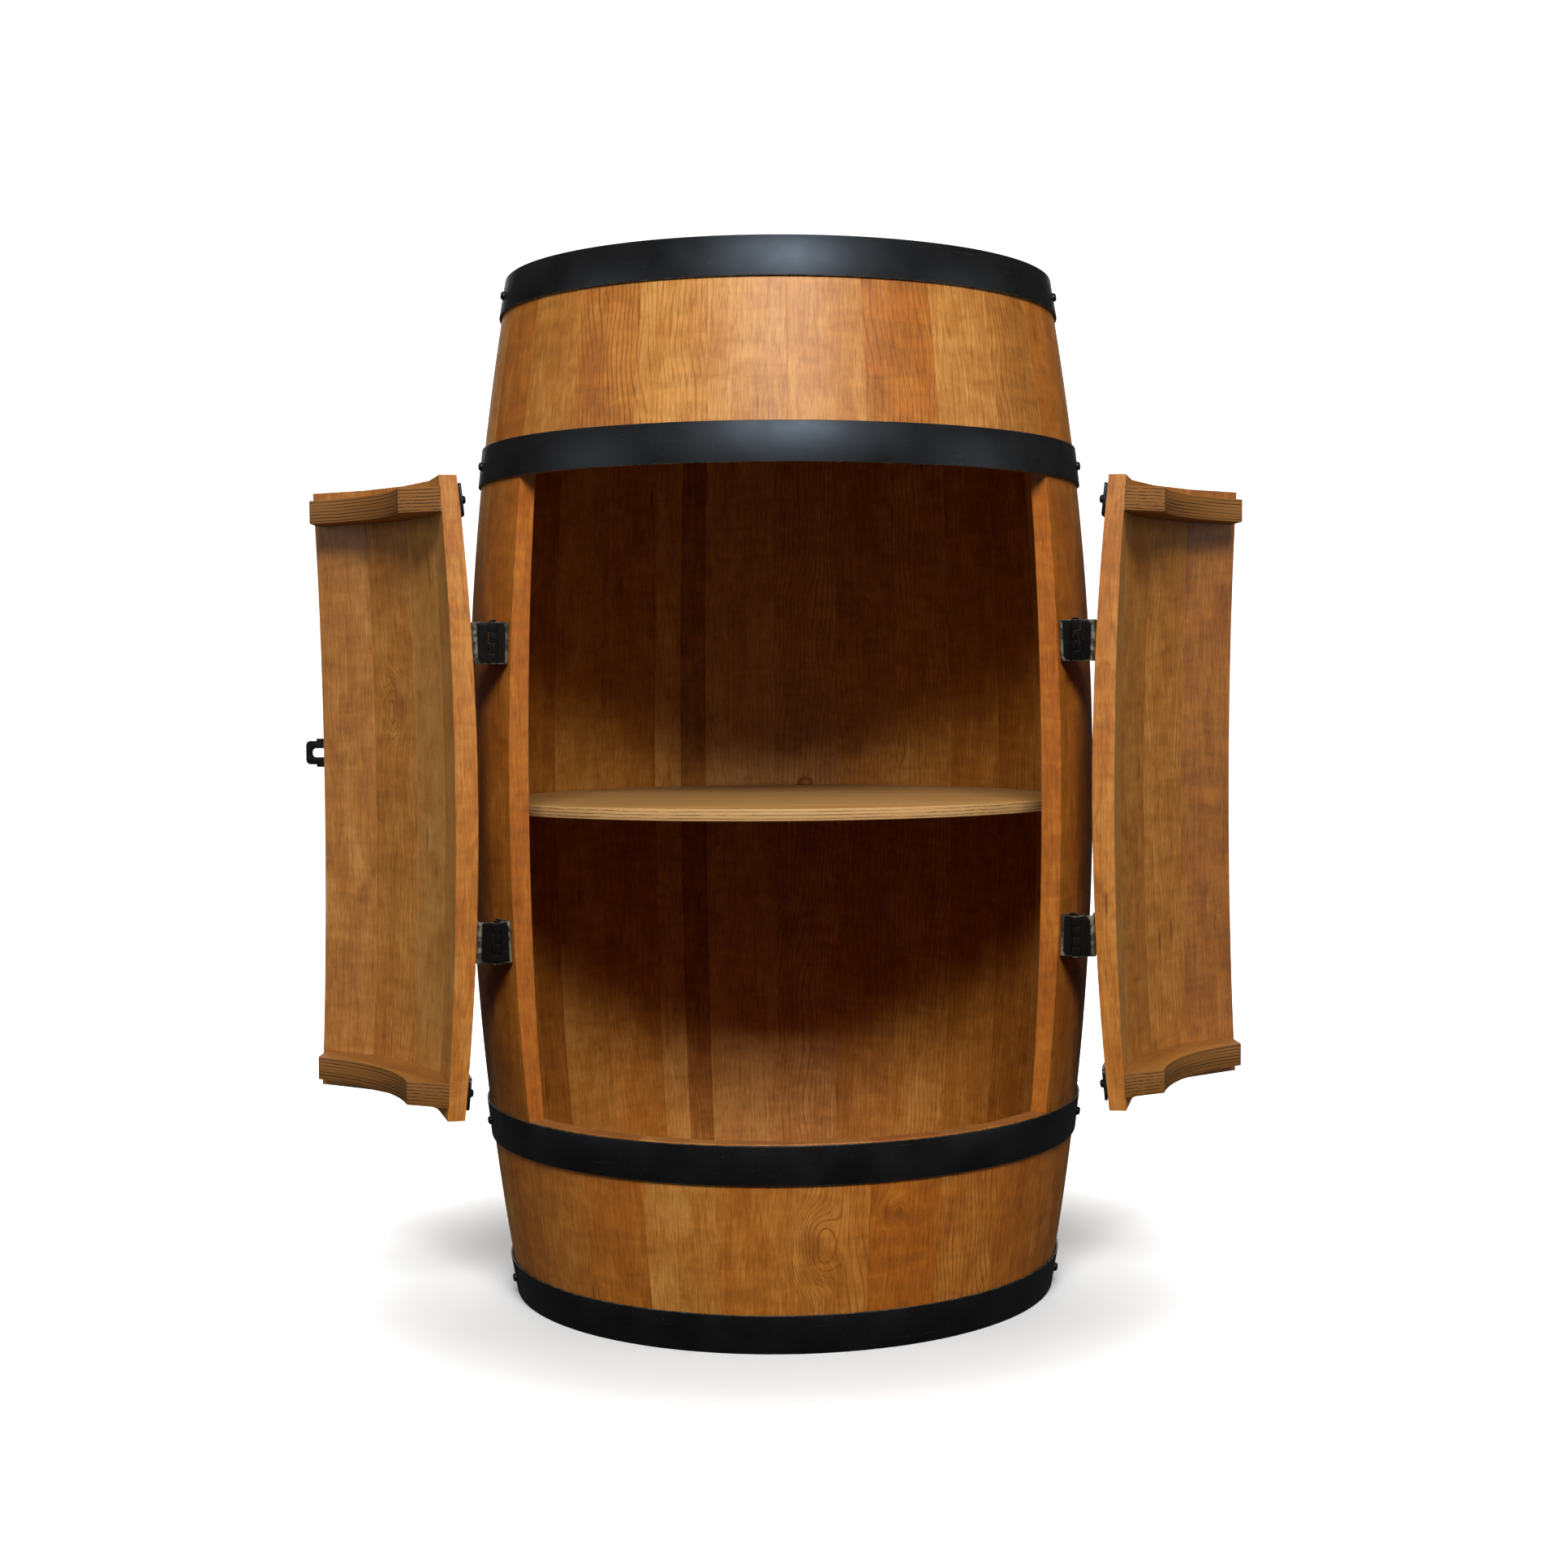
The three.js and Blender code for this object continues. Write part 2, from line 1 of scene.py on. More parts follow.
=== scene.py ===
"""Barrel bar cabinet in stained beech, with black steel hoops, bands, hinges and hasp.

Metres, +Z up, the front faces -Y. Azimuths are turned about the barrel's axis from the front,
and grow towards +X. The doors are made closed and then swung to where they rest.
"""

import math
import random

import bmesh
import bpy
from mathutils import Matrix, Vector


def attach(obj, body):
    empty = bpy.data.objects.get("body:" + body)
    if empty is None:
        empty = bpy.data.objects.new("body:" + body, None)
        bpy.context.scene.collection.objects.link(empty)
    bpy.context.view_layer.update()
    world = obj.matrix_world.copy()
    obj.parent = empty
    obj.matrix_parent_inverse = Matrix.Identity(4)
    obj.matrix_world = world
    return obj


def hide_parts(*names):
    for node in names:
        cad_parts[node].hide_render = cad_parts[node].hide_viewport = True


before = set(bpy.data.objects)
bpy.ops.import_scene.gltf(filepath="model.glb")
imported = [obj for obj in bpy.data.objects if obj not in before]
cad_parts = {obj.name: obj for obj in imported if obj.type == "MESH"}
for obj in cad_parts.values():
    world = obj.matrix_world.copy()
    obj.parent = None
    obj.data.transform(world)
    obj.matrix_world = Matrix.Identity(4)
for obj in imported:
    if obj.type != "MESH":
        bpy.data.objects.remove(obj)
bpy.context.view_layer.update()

# Barrel
AXIS_X = 0.0077
HEIGHT = 0.8
MIDDLE = HEIGHT / 2
BILGE_RADIUS = 0.25
BILGE_RISE = 0.0355
ARC_RADIUS = (MIDDLE**2 + BILGE_RISE**2) / (2 * BILGE_RISE)
STAVE_COUNT = 26
STAVE_ANGLE = 2 * math.pi / STAVE_COUNT
STAVE_THICKNESS = 0.018
STAVE_END_THICKNESS = 0.012
DOOR_STAVES = 4
ACROSS_STEPS = 7
DOOR_ANGLE = DOOR_STAVES * STAVE_ANGLE
CROZE_DEPTH = 0.005
CHIME_BEVEL = 0.005
HEAD_THICKNESS = 0.018
HEAD_TONGUE_THICKNESS = 0.008
HEAD_TONGUE = 0.007
HEAD_BEVEL = 0.009
HEAD_RECESS = 0.02
HEAD_BOARDS = 6
FIT_GAP = 0.0003

# Opening and doors
OPENING_BOTTOM = 0.1568
OPENING_TOP = 0.64
DOOR_BOTTOM = 0.1605
DOOR_TOP = 0.6375
HINGE_SIDE_GAP = 0.002
MEETING_GAP = 0.002
DOOR_OPEN = math.radians(206.4)

# Steel
HOOP_HEIGHT = 0.0295
HOOP_THICKNESS = 0.0019
HOOP_ARRIS = 0.0006
HOOP_BOTTOMS = {
    "top_hoop": HEIGHT - HOOP_HEIGHT,
    "upper_bilge_hoop": 0.6383,
    "lower_bilge_hoop": 0.1266,
    "bottom_hoop": 0.0,
}
BAND_HEIGHT = 0.024
BAND_THICKNESS = 0.0023
BAND_END_INSET = 0.0015
BAND_CORNER = 0.0025
BAND_EASE = 0.0004
BAND_STEPS = 48
HINGE_HEIGHT = 0.031
HINGE_LEVELS = {"upper": 0.5145, "lower": 0.2925}
HINGE_AXIS_RADIUS = 0.2622
LEAF_THICKNESS = 0.0015
LEAF_ARRIS = 0.00022
FLANGE_WIDTH = 0.027
KNUCKLE_RADIUS = 0.0034
KNUCKLE_COUNT = 4
PIN_RADIUS = 0.0017
PIN_HEAD_RADIUS = 0.0026
PIN_HEAD_HEIGHT = 0.0016
RUNNING_GAP = 0.0003
NOTCH_GAP = 0.0002
HASP_HEIGHT = 0.4287
HASP_THICKNESS = 0.002
HASP_PIN_REACH = 0.032
HASP_PLATE_REACH = 0.064
HASP_ROOT = 0.0233
HASP_TIP = 0.0193
HASP_SHOULDER_REACH = 0.0185
HASP_TIP_REACH = 0.029
HASP_CORNER = 0.004
HASP_KNUCKLE_RADIUS = 0.003
HASP_PIN_RADIUS = 0.0014
HASP_STEP = HASP_ROOT / 3
HASP_EASE = 0.0003
HASP_OVERCUT = 0.002
HASP_SIDES = 28
NECK_LAP = 0.002
NECK_CLEARANCE = 0.0008
NECK_DEPTHS = (0.0012, 0.0028)
SLOT_HEIGHT = 0.0072
SLOT_START = 0.0075
SLOT_END = 0.0235
STAPLE_WIRE_RADIUS = 0.0014
STAPLE_SPREAD = 0.009
STAPLE_REACH = 0.015
STAPLE_DEPTH = 0.012

# Screws: the size of a head is its radius and its rise
HOOP_SCREW = (0.0035, 0.0026)
BAND_SCREW = (0.0033, 0.0025)
HINGE_SCREW = (0.0031, 0.0011)
HASP_SCREW = (0.0026, 0.001)
SCREW_CROSS_SHARE = 0.24
HOOP_SCREW_AZIMUTH = math.radians(78)
BAND_SCREW_INSETS = (0.011, 0.012)
FLANGE_SCREW_REACH = 0.0165
FLANGE_SCREW_RISE = 0.0085
HASP_SCREW_REACH = 0.052
HASP_SCREW_RISE = 0.006

# Plywood
BATTEN_THICKNESS = 0.018
BATTEN_ARRIS = 0.0004
BATTEN_STRIP = 0.028
BATTEN_END_INSET = 0.005
BATTEN_END_SLANT = 0.014
BATTEN_BOTTOMS = {"upper": DOOR_TOP - 0.0085 - BATTEN_THICKNESS, "lower": DOOR_BOTTOM + 0.01}
SHELF_TOP = 0.391
SHELF_THICKNESS = 0.009
SHELF_ARRIS = 0.0005
CLEAT_ARRIS = 0.0012
SHELF_CLEARANCE = 0.0015
SHELF_FRONT_RADIUS = 0.26
SHELF_FRONT_REACH = 0.163
BUTTON_RADIUS = 0.007
BUTTON_HEIGHT = 0.007
BUTTON_AZIMUTH = math.pi - 0.119

DOORS = {"left_door": -1, "right_door": 1}

# Knots: the centre of each on the wood, and how far its swirl reaches
KNOTS = [
    ((0.0205, -0.2285, 0.0795), 0.03),
    ((0.075, -0.2205, 0.1045), 0.012),
    ((0.084, -0.2185, 0.1035), 0.009),
    ((-0.2941, -0.0332, 0.4654), 0.028),
    ((-0.071, 0.223, 0.307), 0.02),
    ((-0.205, -0.13, 0.66), 0.026),
    ((0.1, 0.225, 0.55), 0.03),
    ((-0.16, 0.172, 0.15), 0.028),
]


def outer_radius(z):
    return BILGE_RADIUS - ARC_RADIUS + math.sqrt(ARC_RADIUS**2 - (z - MIDDLE) ** 2)


def wall_thickness(z):
    share = (z - MIDDLE) / MIDDLE
    return STAVE_END_THICKNESS + (STAVE_THICKNESS - STAVE_END_THICKNESS) * (1 - share**2) ** 2


def inner_radius(z):
    return outer_radius(z) - wall_thickness(z)


def plan_point(radius, azimuth, shift=0.0):
    """A point in plan at that radius, moved square to its radius by shift."""
    return Vector(
        (
            radius * math.sin(azimuth) + shift * math.cos(azimuth),
            -radius * math.cos(azimuth) + shift * math.sin(azimuth),
        )
    )


# Camera at the photograph's angle
def set_camera():
    heading, pitch, roll = math.radians(3.0), 0.0464, -0.0059
    forward = Vector(
        (math.sin(heading) * math.cos(pitch), math.cos(heading) * math.cos(pitch), -math.sin(pitch))
    )
    level_right = forward.cross(Vector((0, 0, 1))).normalized()
    level_up = level_right.cross(forward)
    right = level_right * math.cos(roll) + level_up * math.sin(roll)
    up = level_up * math.cos(roll) - level_right * math.sin(roll)
    camera = bpy.data.objects.new("camera", bpy.data.cameras.new("camera"))
    # The photograph's width, focal length and shift, in its pixels
    photo_width, focal_length, shift = 1932, 2760.8, -72
    camera.data.sensor_width = 36.0
    camera.data.lens = camera.data.sensor_width * focal_length / photo_width
    camera.data.shift_x = shift / photo_width
    place = Matrix.Translation((-0.0384, -1.8119, 0.4858))
    camera.matrix_world = place @ Matrix((right, up, -forward)).transposed().to_4x4()
    bpy.context.scene.collection.objects.link(camera)
    bpy.context.scene.camera = camera


set_camera()


# Nodes
MIX_COLOURS = {"data_type": "RGBA", "out": "Result"}


def add(tree, kind, *inputs, out=0, stops=(), **settings):
    """Adds a node with its settings, feeds its sockets in order or by name, and gives an output.

    The stops of a colour ramp are (place, hex) pairs.
    """
    made = tree.nodes.new(kind)
    for name, value in settings.items():
        setattr(made, name, value)
    while stops and len(made.color_ramp.elements) < len(stops):
        made.color_ramp.elements.new(1.0)
    for i, (place, hex_colour) in enumerate(stops):
        made.color_ramp.elements[i].position = place
        made.color_ramp.elements[i].color = linear(hex_colour)
    named = {}
    for place, value in enumerate(inputs):
        if isinstance(value, dict):
            named.update(value)
        elif value is not None:
            named[place] = value
    for name, value in named.items():
        if isinstance(value, bpy.types.NodeSocket):
            tree.links.new(value, made.inputs[name])
        else:
            made.inputs[name].default_value = value
    return made.outputs[out] if len(made.outputs) else made


def linear(hex_colour):
    """An sRGB hex value as a linear colour."""
    parts = [int(hex_colour[i : i + 2], 16) / 255 for i in (0, 2, 4)]
    return [p / 12.92 if p <= 0.04045 else ((p + 0.055) / 1.055) ** 2.4 for p in parts] + [1.0]


def new_material(name):
    material = bpy.data.materials.new(name)
    material.use_nodes = True
    material.node_tree.nodes.clear()
    return material, material.node_tree


def finish_material(tree, **sockets):
    """The shader and its output. Sockets are named with underscores for spaces."""
    named = {name.replace("_", " "): value for name, value in sockets.items()}
    shader = add(tree, "ShaderNodeBsdfPrincipled", named)
    add(tree, "ShaderNodeOutputMaterial", {"Surface": shader})


# Materials
def grain_pattern(tree, where, across_mm, along_mm, detail=2.0, roughness=0.5, distortion=0.0):
    """Noise drawn out along the grain, from real sizes across and along it."""
    scaled = add(
        tree,
        "ShaderNodeMapping",
        {"Vector": where, "Scale": (1000 / across_mm, 1000 / across_mm, 1000 / along_mm)},
    )
    return add(
        tree,
        "ShaderNodeTexNoise",
        {
            "Vector": scaled,
            "Scale": 1.0,
            "Detail": detail,
            "Roughness": roughness,
            "Distortion": distortion,
        },
    )


# Beech, planed, stained a warm brown and varnished satin. Beech shows a fine straight fibre,
# short dark pores, leaning growth rings in some boards, rare dark flecks and knots, and it takes
# up the stain in soft blotches.
def stained_beech():
    material, tree = new_material("stained_varnished_beech")
    grain = add(tree, "ShaderNodeAttribute", attribute_name="grain", out="Vector")
    board = add(tree, "ShaderNodeAttribute", attribute_name="board", out="Vector")
    face = add(tree, "ShaderNodeAttribute", attribute_name="face", out="Vector")
    place = add(tree, "ShaderNodeTexCoord", out="Object")
    tone, warmth, figure = add(tree, "ShaderNodeSeparateXYZ", board).node.outputs
    edge, end, _ = add(tree, "ShaderNodeSeparateXYZ", face).node.outputs

    # The fibre swirls round a knot, and the knot's heart is darker
    swirl = heart = 0.0
    for centre, reach in KNOTS:
        from_knot = add(tree, "ShaderNodeVectorMath", place, centre, operation="SUBTRACT")
        shrink = (1 / reach, 1 / reach, 0.6 / reach)
        offset = add(tree, "ShaderNodeVectorMath", from_knot, shrink, operation="MULTIPLY")
        away = add(tree, "ShaderNodeVectorMath", offset, operation="LENGTH", out="Value")
        near = add(
            tree,
            "ShaderNodeMapRange",
            {"Value": away, "From Min": 1.0, "From Max": 0.1},
            interpolation_type="SMOOTHERSTEP",
        )
        core = add(
            tree,
            "ShaderNodeMapRange",
            {"Value": away, "From Min": 0.42, "From Max": 0.12},
            interpolation_type="SMOOTHSTEP",
        )
        swirl = add(tree, "ShaderNodeMath", near, 0.009, swirl, operation="MULTIPLY_ADD")
        heart = add(tree, "ShaderNodeMath", core, heart, operation="ADD")
    aside = add(tree, "ShaderNodeCombineXYZ", swirl)
    grain = add(tree, "ShaderNodeVectorMath", grain, aside, operation="ADD")

    cloud = grain_pattern(tree, grain, 19, 46, distortion=0.5)
    streaks = grain_pattern(tree, grain, 2.6, 80, detail=3.0, roughness=0.6)
    fibre = grain_pattern(tree, grain, 1.0, 11, roughness=0.7)
    bruise = grain_pattern(tree, grain, 32, 9, detail=3.0, distortion=0.6)
    hairs = grain_pattern(tree, grain, 0.85, 15)

    # Growth rings: lines across the board that lean, each board in its own way
    wander = grain_pattern(tree, grain, 30, 90, detail=1.0)
    across, _, along = add(tree, "ShaderNodeSeparateXYZ", grain).node.outputs
    lean = add(tree, "ShaderNodeMapRange", {"Value": figure, "To Min": -0.22, "To Max": 0.16})
    slanted = add(tree, "ShaderNodeMath", along, lean, across, operation="MULTIPLY_ADD")
    bent = add(tree, "ShaderNodeMath", wander, 0.024, slanted, operation="MULTIPLY_ADD")
    swung = add(tree, "ShaderNodeMath", swirl, 1.6, bent, operation="MULTIPLY_ADD")
    ring_spacing = 0.0042
    turns = add(tree, "ShaderNodeMath", swung, 2 * math.pi / ring_spacing, operation="MULTIPLY")
    rings = add(tree, "ShaderNodeMath", turns, operation="SINE")
    late_wood = add(
        tree,
        "ShaderNodeMapRange",
        {"Value": rings, "From Min": 0.62, "From Max": 1.0},
        interpolation_type="SMOOTHSTEP",
    )
    figured = add(
        tree, "ShaderNodeMapRange", {"Value": figure, "From Min": 0.4, "From Max": 0.95, "To Min": 0.12}
    )
    broken = add(tree, "ShaderNodeMath", late_wood, cloud, operation="MULTIPLY")
    near_knot = add(tree, "ShaderNodeMath", swirl, 50.0, figured, operation="MULTIPLY_ADD")
    ringed = add(tree, "ShaderNodeMath", broken, near_knot, operation="MULTIPLY", use_clamp=True)

    # Each noise sways the stain about its middle, and rings and the board's own tone shift it
    noises = [(cloud, 0.45), (streaks, 0.26), (fibre, 0.42), (bruise, 0.4)]
    depth = 0.53 - 0.5 * sum(weight for noise, weight in noises)
    for value, weight in [*noises, (ringed, -0.55), (tone, 1.0)]:
        depth = add(tree, "ShaderNodeMath", value, weight, depth, operation="MULTIPLY_ADD")
    stain = [(0.0, "522608"), (0.28, "864F18"), (0.5, "A66B28"), (0.72, "BF8C49"), (1.0, "D2A86C")]
    colour = add(tree, "ShaderNodeValToRGB", depth, stops=stain)
    dark_hair = add(
        tree, "ShaderNodeMapRange", {"Value": hairs, "From Min": 0.54, "From Max": 0.7, "To Max": 0.4}
    )
    # A fleck is a small dark lens in the fibre, about 2 mm across and 19 mm long
    fleck_scale = (1000 / 22, 1000 / 22, 1000 / 170)
    cells = add(tree, "ShaderNodeMapping", {"Vector": grain, "Scale": fleck_scale})
    flecks = add(tree, "ShaderNodeTexVoronoi", {"Vector": cells, "Scale": 1.0}, out="Distance")
    fleck = add(
        tree, "ShaderNodeMapRange", {"Value": flecks, "From Min": 0.075, "From Max": 0.04, "To Max": 0.75}
    )
    marked = add(tree, "ShaderNodeMath", heart, 0.42, fleck, operation="MULTIPLY_ADD")
    dark_mark = add(tree, "ShaderNodeMath", marked, dark_hair, operation="MAXIMUM", use_clamp=True)
    pored = add(
        tree, "ShaderNodeMix", {"Factor": dark_mark, "A": colour, "B": linear("5E2C0C")}, **MIX_COLOURS
    )
    # Sawn edges soak up more of the warm stain, the faces do so in patches, and cut ends are duller
    warm_edge = add(tree, "ShaderNodeMath", edge, 0.3, warmth, operation="MULTIPLY_ADD")
    warm_patch = add(tree, "ShaderNodeMapRange", {"Value": bruise, "To Min": -0.5, "To Max": 0.7})
    warm = add(tree, "ShaderNodeMath", warm_edge, warm_patch, operation="ADD")
    warmed = add(
        tree,
        "ShaderNodeMix",
        {"Factor": warm, "A": pored, "B": linear("FFDC9A")},
        **MIX_COLOURS,
        blend_type="MULTIPLY",
        clamp_factor=True,
    )
    dulled = add(tree, "ShaderNodeMath", end, 0.45, operation="MULTIPLY")
    ended = add(
        tree, "ShaderNodeMix", {"Factor": dulled, "A": warmed, "B": linear("7A4E28")}, **MIX_COLOURS
    )
    varnish = add(tree, "ShaderNodeMapRange", {"Value": fibre, "To Min": 0.42, "To Max": 0.56})
    roughness = add(tree, "ShaderNodeMath", end, 0.25, varnish, operation="MULTIPLY_ADD")
    relief = add(tree, "ShaderNodeMath", dark_mark, -1.2, fibre, operation="MULTIPLY_ADD")
    bump = add(tree, "ShaderNodeBump", {"Height": relief, "Strength": 0.3, "Distance": 0.0001})
    finish_material(
        tree, Base_Color=ended, Roughness=roughness, IOR=1.5, Specular_IOR_Level=0.33, Normal=bump
    )
    return material


# Birch plywood, stained with the barrel: a rotary-cut face and an edge of alternate plies,
# light where their grain runs along the edge and dark where it is cut across.
def stained_plywood(name, ply_mm, face_light, face_dark, edge_light, edge_dark):
    material, tree = new_material(name)
    grain = add(tree, "ShaderNodeAttribute", attribute_name="grain", out="Vector")
    face = add(tree, "ShaderNodeAttribute", attribute_name="face", out="Vector")
    edge = add(tree, "ShaderNodeSeparateXYZ", face)
    streaks = grain_pattern(tree, grain, 2.5, 160, detail=3.0, roughness=0.6)
    broad = grain_pattern(tree, grain, 30, 240)
    fibre = grain_pattern(tree, grain, 0.6, 18, roughness=0.6)
    lined = add(tree, "ShaderNodeMath", streaks, fibre, operation="ADD")
    mixed = add(tree, "ShaderNodeMath", lined, broad, operation="ADD")
    level = add(tree, "ShaderNodeMath", mixed, 1 / 3, operation="MULTIPLY")
    top = add(tree, "ShaderNodeValToRGB", level, stops=[(0.36, face_dark), (0.64, face_light)])
    # The plies lie in the board's thickness, which is its first grain axis
    depth = add(tree, "ShaderNodeSeparateXYZ", grain)
    uneven = grain_pattern(tree, grain, 14, 70)
    wavering = add(tree, "ShaderNodeMath", uneven, 0.0016, depth, operation="MULTIPLY_ADD")
    turns = add(tree, "ShaderNodeMath", wavering, 2 * math.pi * 1000 / ply_mm, operation="MULTIPLY")
    wave = add(tree, "ShaderNodeMath", turns, operation="SINE")
    dark_line = add(
        tree,
        "ShaderNodeMapRange",
        {"Value": wave, "From Min": 0.25, "From Max": 0.95},
        interpolation_type="SMOOTHSTEP",
    )
    patchy = grain_pattern(tree, grain, 5, 130)
    strength = add(
        tree, "ShaderNodeMapRange", {"Value": patchy, "From Min": 0.3, "From Max": 0.62, "To Min": 0.15}
    )
    soot = grain_pattern(tree, grain, 0.9, 90, detail=3.0)
    darkened = add(tree, "ShaderNodeMath", dark_line, strength, operation="MULTIPLY")
    plies = add(tree, "ShaderNodeMath", darkened, -1.0, 1.0, operation="MULTIPLY_ADD")
    speckled = add(tree, "ShaderNodeMath", soot, 0.7, plies, operation="MULTIPLY_ADD")
    lowered = add(tree, "ShaderNodeMath", speckled, -0.42, operation="ADD")
    side = add(tree, "ShaderNodeValToRGB", lowered, stops=[(0.0, edge_dark), (1.0, edge_light)])
    colour = add(tree, "ShaderNodeMix", {"Factor": edge, "A": top, "B": side}, **MIX_COLOURS)
    ridges = add(tree, "ShaderNodeMath", plies, edge, operation="MULTIPLY")
    relief = add(tree, "ShaderNodeMath", ridges, fibre, operation="ADD")
    bump = add(tree, "ShaderNodeBump", {"Height": relief, "Strength": 0.4, "Distance": 0.00015})
    finish_material(
        tree, Base_Color=colour, Roughness=0.55, IOR=1.5, Specular_IOR_Level=0.35, Normal=bump
    )
    return material


# Mild steel strip painted satin black: a soft broad sheen, a faint orange-peel of the brush,
# a few rubbed streaks, and bare steel showing in specks and along its bends and arrises.
# On the hinges' bends that pale steel is also a painted highlight, for the light a bend catches.
def black_paint(name, roughness, wear_and_highlight_share, specular):
    material, tree = new_material(name)
    where = add(tree, "ShaderNodeTexCoord", out="Object")
    wear_and_highlight = add(tree, "ShaderNodeAttribute", attribute_name="wear_and_highlight", out="Fac")
    peel = add(tree, "ShaderNodeTexNoise", {"Vector": where, "Scale": 420.0, "Detail": 3.0})
    smear = add(tree, "ShaderNodeTexNoise", {"Vector": where, "Scale": 24.0, "Detail": 5.0})
    dust = add(
        tree, "ShaderNodeTexNoise", {"Vector": where, "Scale": 800.0, "Detail": 2.0, "Roughness": 0.7}
    )
    chips = add(tree, "ShaderNodeTexNoise", {"Vector": where, "Scale": 190.0, "Detail": 3.0})
    rubs = grain_pattern(tree, where, 30, 2.0, detail=3.0, roughness=0.6)
    speck = add(
        tree, "ShaderNodeMapRange", {"Value": dust, "From Min": 0.70, "From Max": 0.75, "To Max": 0.4}
    )
    rub = add(
        tree, "ShaderNodeMapRange", {"Value": rubs, "From Min": 0.66, "From Max": 0.82, "To Max": 0.16}
    )
    scuffed = add(tree, "ShaderNodeMath", speck, rub, operation="MAXIMUM")
    # Paint wears off an arris in chips, more where the attribute says so; on a hinge's bend
    # the pale chips are a painted highlight as well as wear
    bare = add(
        tree, "ShaderNodeMapRange", {"Value": chips, "From Min": 0.44, "From Max": 0.6, "To Min": 0.2}
    )
    rim = add(tree, "ShaderNodeMapRange", {"Value": wear_and_highlight, "From Min": 0.7, "From Max": 1.0})
    bare_and_highlight_rim = add(tree, "ShaderNodeMath", bare, rim, operation="MULTIPLY")
    chips_and_highlight = add(tree, "ShaderNodeMath", bare_and_highlight_rim, wear_and_highlight_share, operation="MULTIPLY")
    black = add(tree, "ShaderNodeValToRGB", smear, stops=[(0.35, "0D0B0A"), (0.7, "161412")])
    dusty = add(
        tree, "ShaderNodeMix", {"Factor": scuffed, "A": black, "B": linear("6E7074")}, **MIX_COLOURS
    )
    colour = add(
        tree,
        "ShaderNodeMix",
        {"Factor": chips_and_highlight, "A": dusty, "B": linear("86806E")},
        **MIX_COLOURS,
        clamp_factor=True,
    )
    rough = add(
        tree,
        "ShaderNodeMapRange",
        {
            "Value": smear,
            "From Min": 0.3,
            "From Max": 0.7,
            "To Min": roughness - 0.06,
            "To Max": roughness + 0.08,
        },
    )
    bump = add(tree, "ShaderNodeBump", {"Height": peel, "Strength": 0.12, "Distance": 0.0002})
    finish_material(
        tree,
        Base_Color=colour,
        Roughness=rough,
        IOR=1.5,
        Specular_IOR_Level=specular,
        Specular_Tint=linear("D4E8FF"),
        Normal=bump,
    )
    return material


# Softwood cleats, sawn and left as they came but for a wipe of stain
def sawn_pine():
    material, tree = new_material("sawn_stained_pine")
    where = add(tree, "ShaderNodeTexCoord", out="Object")
    turned = add(tree, "ShaderNodeMapping", {"Vector": where, "Rotation": (0.0, math.pi / 2, 0.3)})
    streaks = grain_pattern(tree, turned, 2.2, 90, detail=3.0)
    fibre = grain_pattern(tree, turned, 0.6, 15)
    colour = add(tree, "ShaderNodeValToRGB", streaks, stops=[(0.3, "7A4A20"), (0.7, "A8713A")])
    bump = add(tree, "ShaderNodeBump", {"Height": fibre, "Strength": 0.5, "Distance": 0.0002})
    finish_material(tree, Base_Color=colour, Roughness=0.7, IOR=1.5, Specular_IOR_Level=0.3, Normal=bump)
    return material


BEECH = stained_beech()
BATTEN_PLY = stained_plywood("stained_batten_plywood", 2.5, "AC7230", "8A541E", "8C5B23", "391C07")
SHELF_PLY = stained_plywood("oiled_shelf_plywood", 2.6, "BC9056", "9C703A", "C0965E", "785430")
HOOP_PAINT = black_paint("satin_black_hoop_paint", 0.42, 0.5, 0.3)
BAND_PAINT = black_paint("satin_black_band_paint", 0.4, 0.5, 0.3)
HINGE_PAINT = black_paint("black_hinge_enamel", 0.28, 0.75, 0.06)
SCREW_BLACK = black_paint("blackened_screw_steel", 0.3, 0.5, 0.4)
PINE = sawn_pine()


# Mesh helpers
def new_object(name, mesh):
    made = bpy.data.objects.new(name, mesh)
    bpy.context.scene.collection.objects.link(made)
    return made


def from_faces(name, points, faces):
    mesh = bpy.data.meshes.new(name)
    mesh.from_pydata([tuple(p) for p in points], [], faces)
    mesh.update()
    return new_object(name, mesh)


def from_box(name, xs, ys, zs):
    points = [(x, y, z) for z in zs for y in ys for x in xs]
    faces = [(0, 2, 3, 1), (4, 5, 7, 6), (0, 1, 5, 4), (2, 6, 7, 3), (0, 4, 6, 2), (1, 3, 7, 5)]
    return from_faces(name, points, faces)


def arc(x, y, radius, start, end, steps):
    """Points along an arc about (x, y), both ends included."""
    turns = [start + (end - start) * i / steps for i in range(steps + 1)]
    return [(x + radius * math.cos(t), y + radius * math.sin(t)) for t in turns]


def set_attribute(mesh, name, kind, domain, values):
    """Writes one value for each point, face or corner."""
    layer = mesh.attributes.get(name) or mesh.attributes.new(name, kind, domain)
    key = "vector" if kind == "FLOAT_VECTOR" else "value"
    flat = [part for value in values for part in value] if key == "vector" else list(values)
    layer.data.foreach_set(key, flat)


def applied(made):
    """The object with its modifiers turned into plain mesh."""
    bpy.context.view_layer.update()
    depsgraph = bpy.context.evaluated_depsgraph_get()
    mesh = bpy.data.meshes.new_from_object(
        made.evaluated_get(depsgraph), preserve_all_data_layers=True, depsgraph=depsgraph
    )
    mesh.name = made.name
    made.modifiers.clear()
    made.data = mesh
    return made


def smooth(made, angle):
    made.data.shade_smooth()
    made.data.set_sharp_from_angle(angle=math.radians(angle))


def eased_arrises(made, width, segments, angle):
    """The piece with its edges sharper than the angle rounded over."""
    bevel = made.modifiers.new("arris", "BEVEL")
    bevel.width = width
    bevel.segments = segments
    bevel.limit_method = "ANGLE"
    bevel.angle_limit = math.radians(angle)
    return applied(made)


def moved(made, matrix):
    made.data.transform(matrix)
    return made


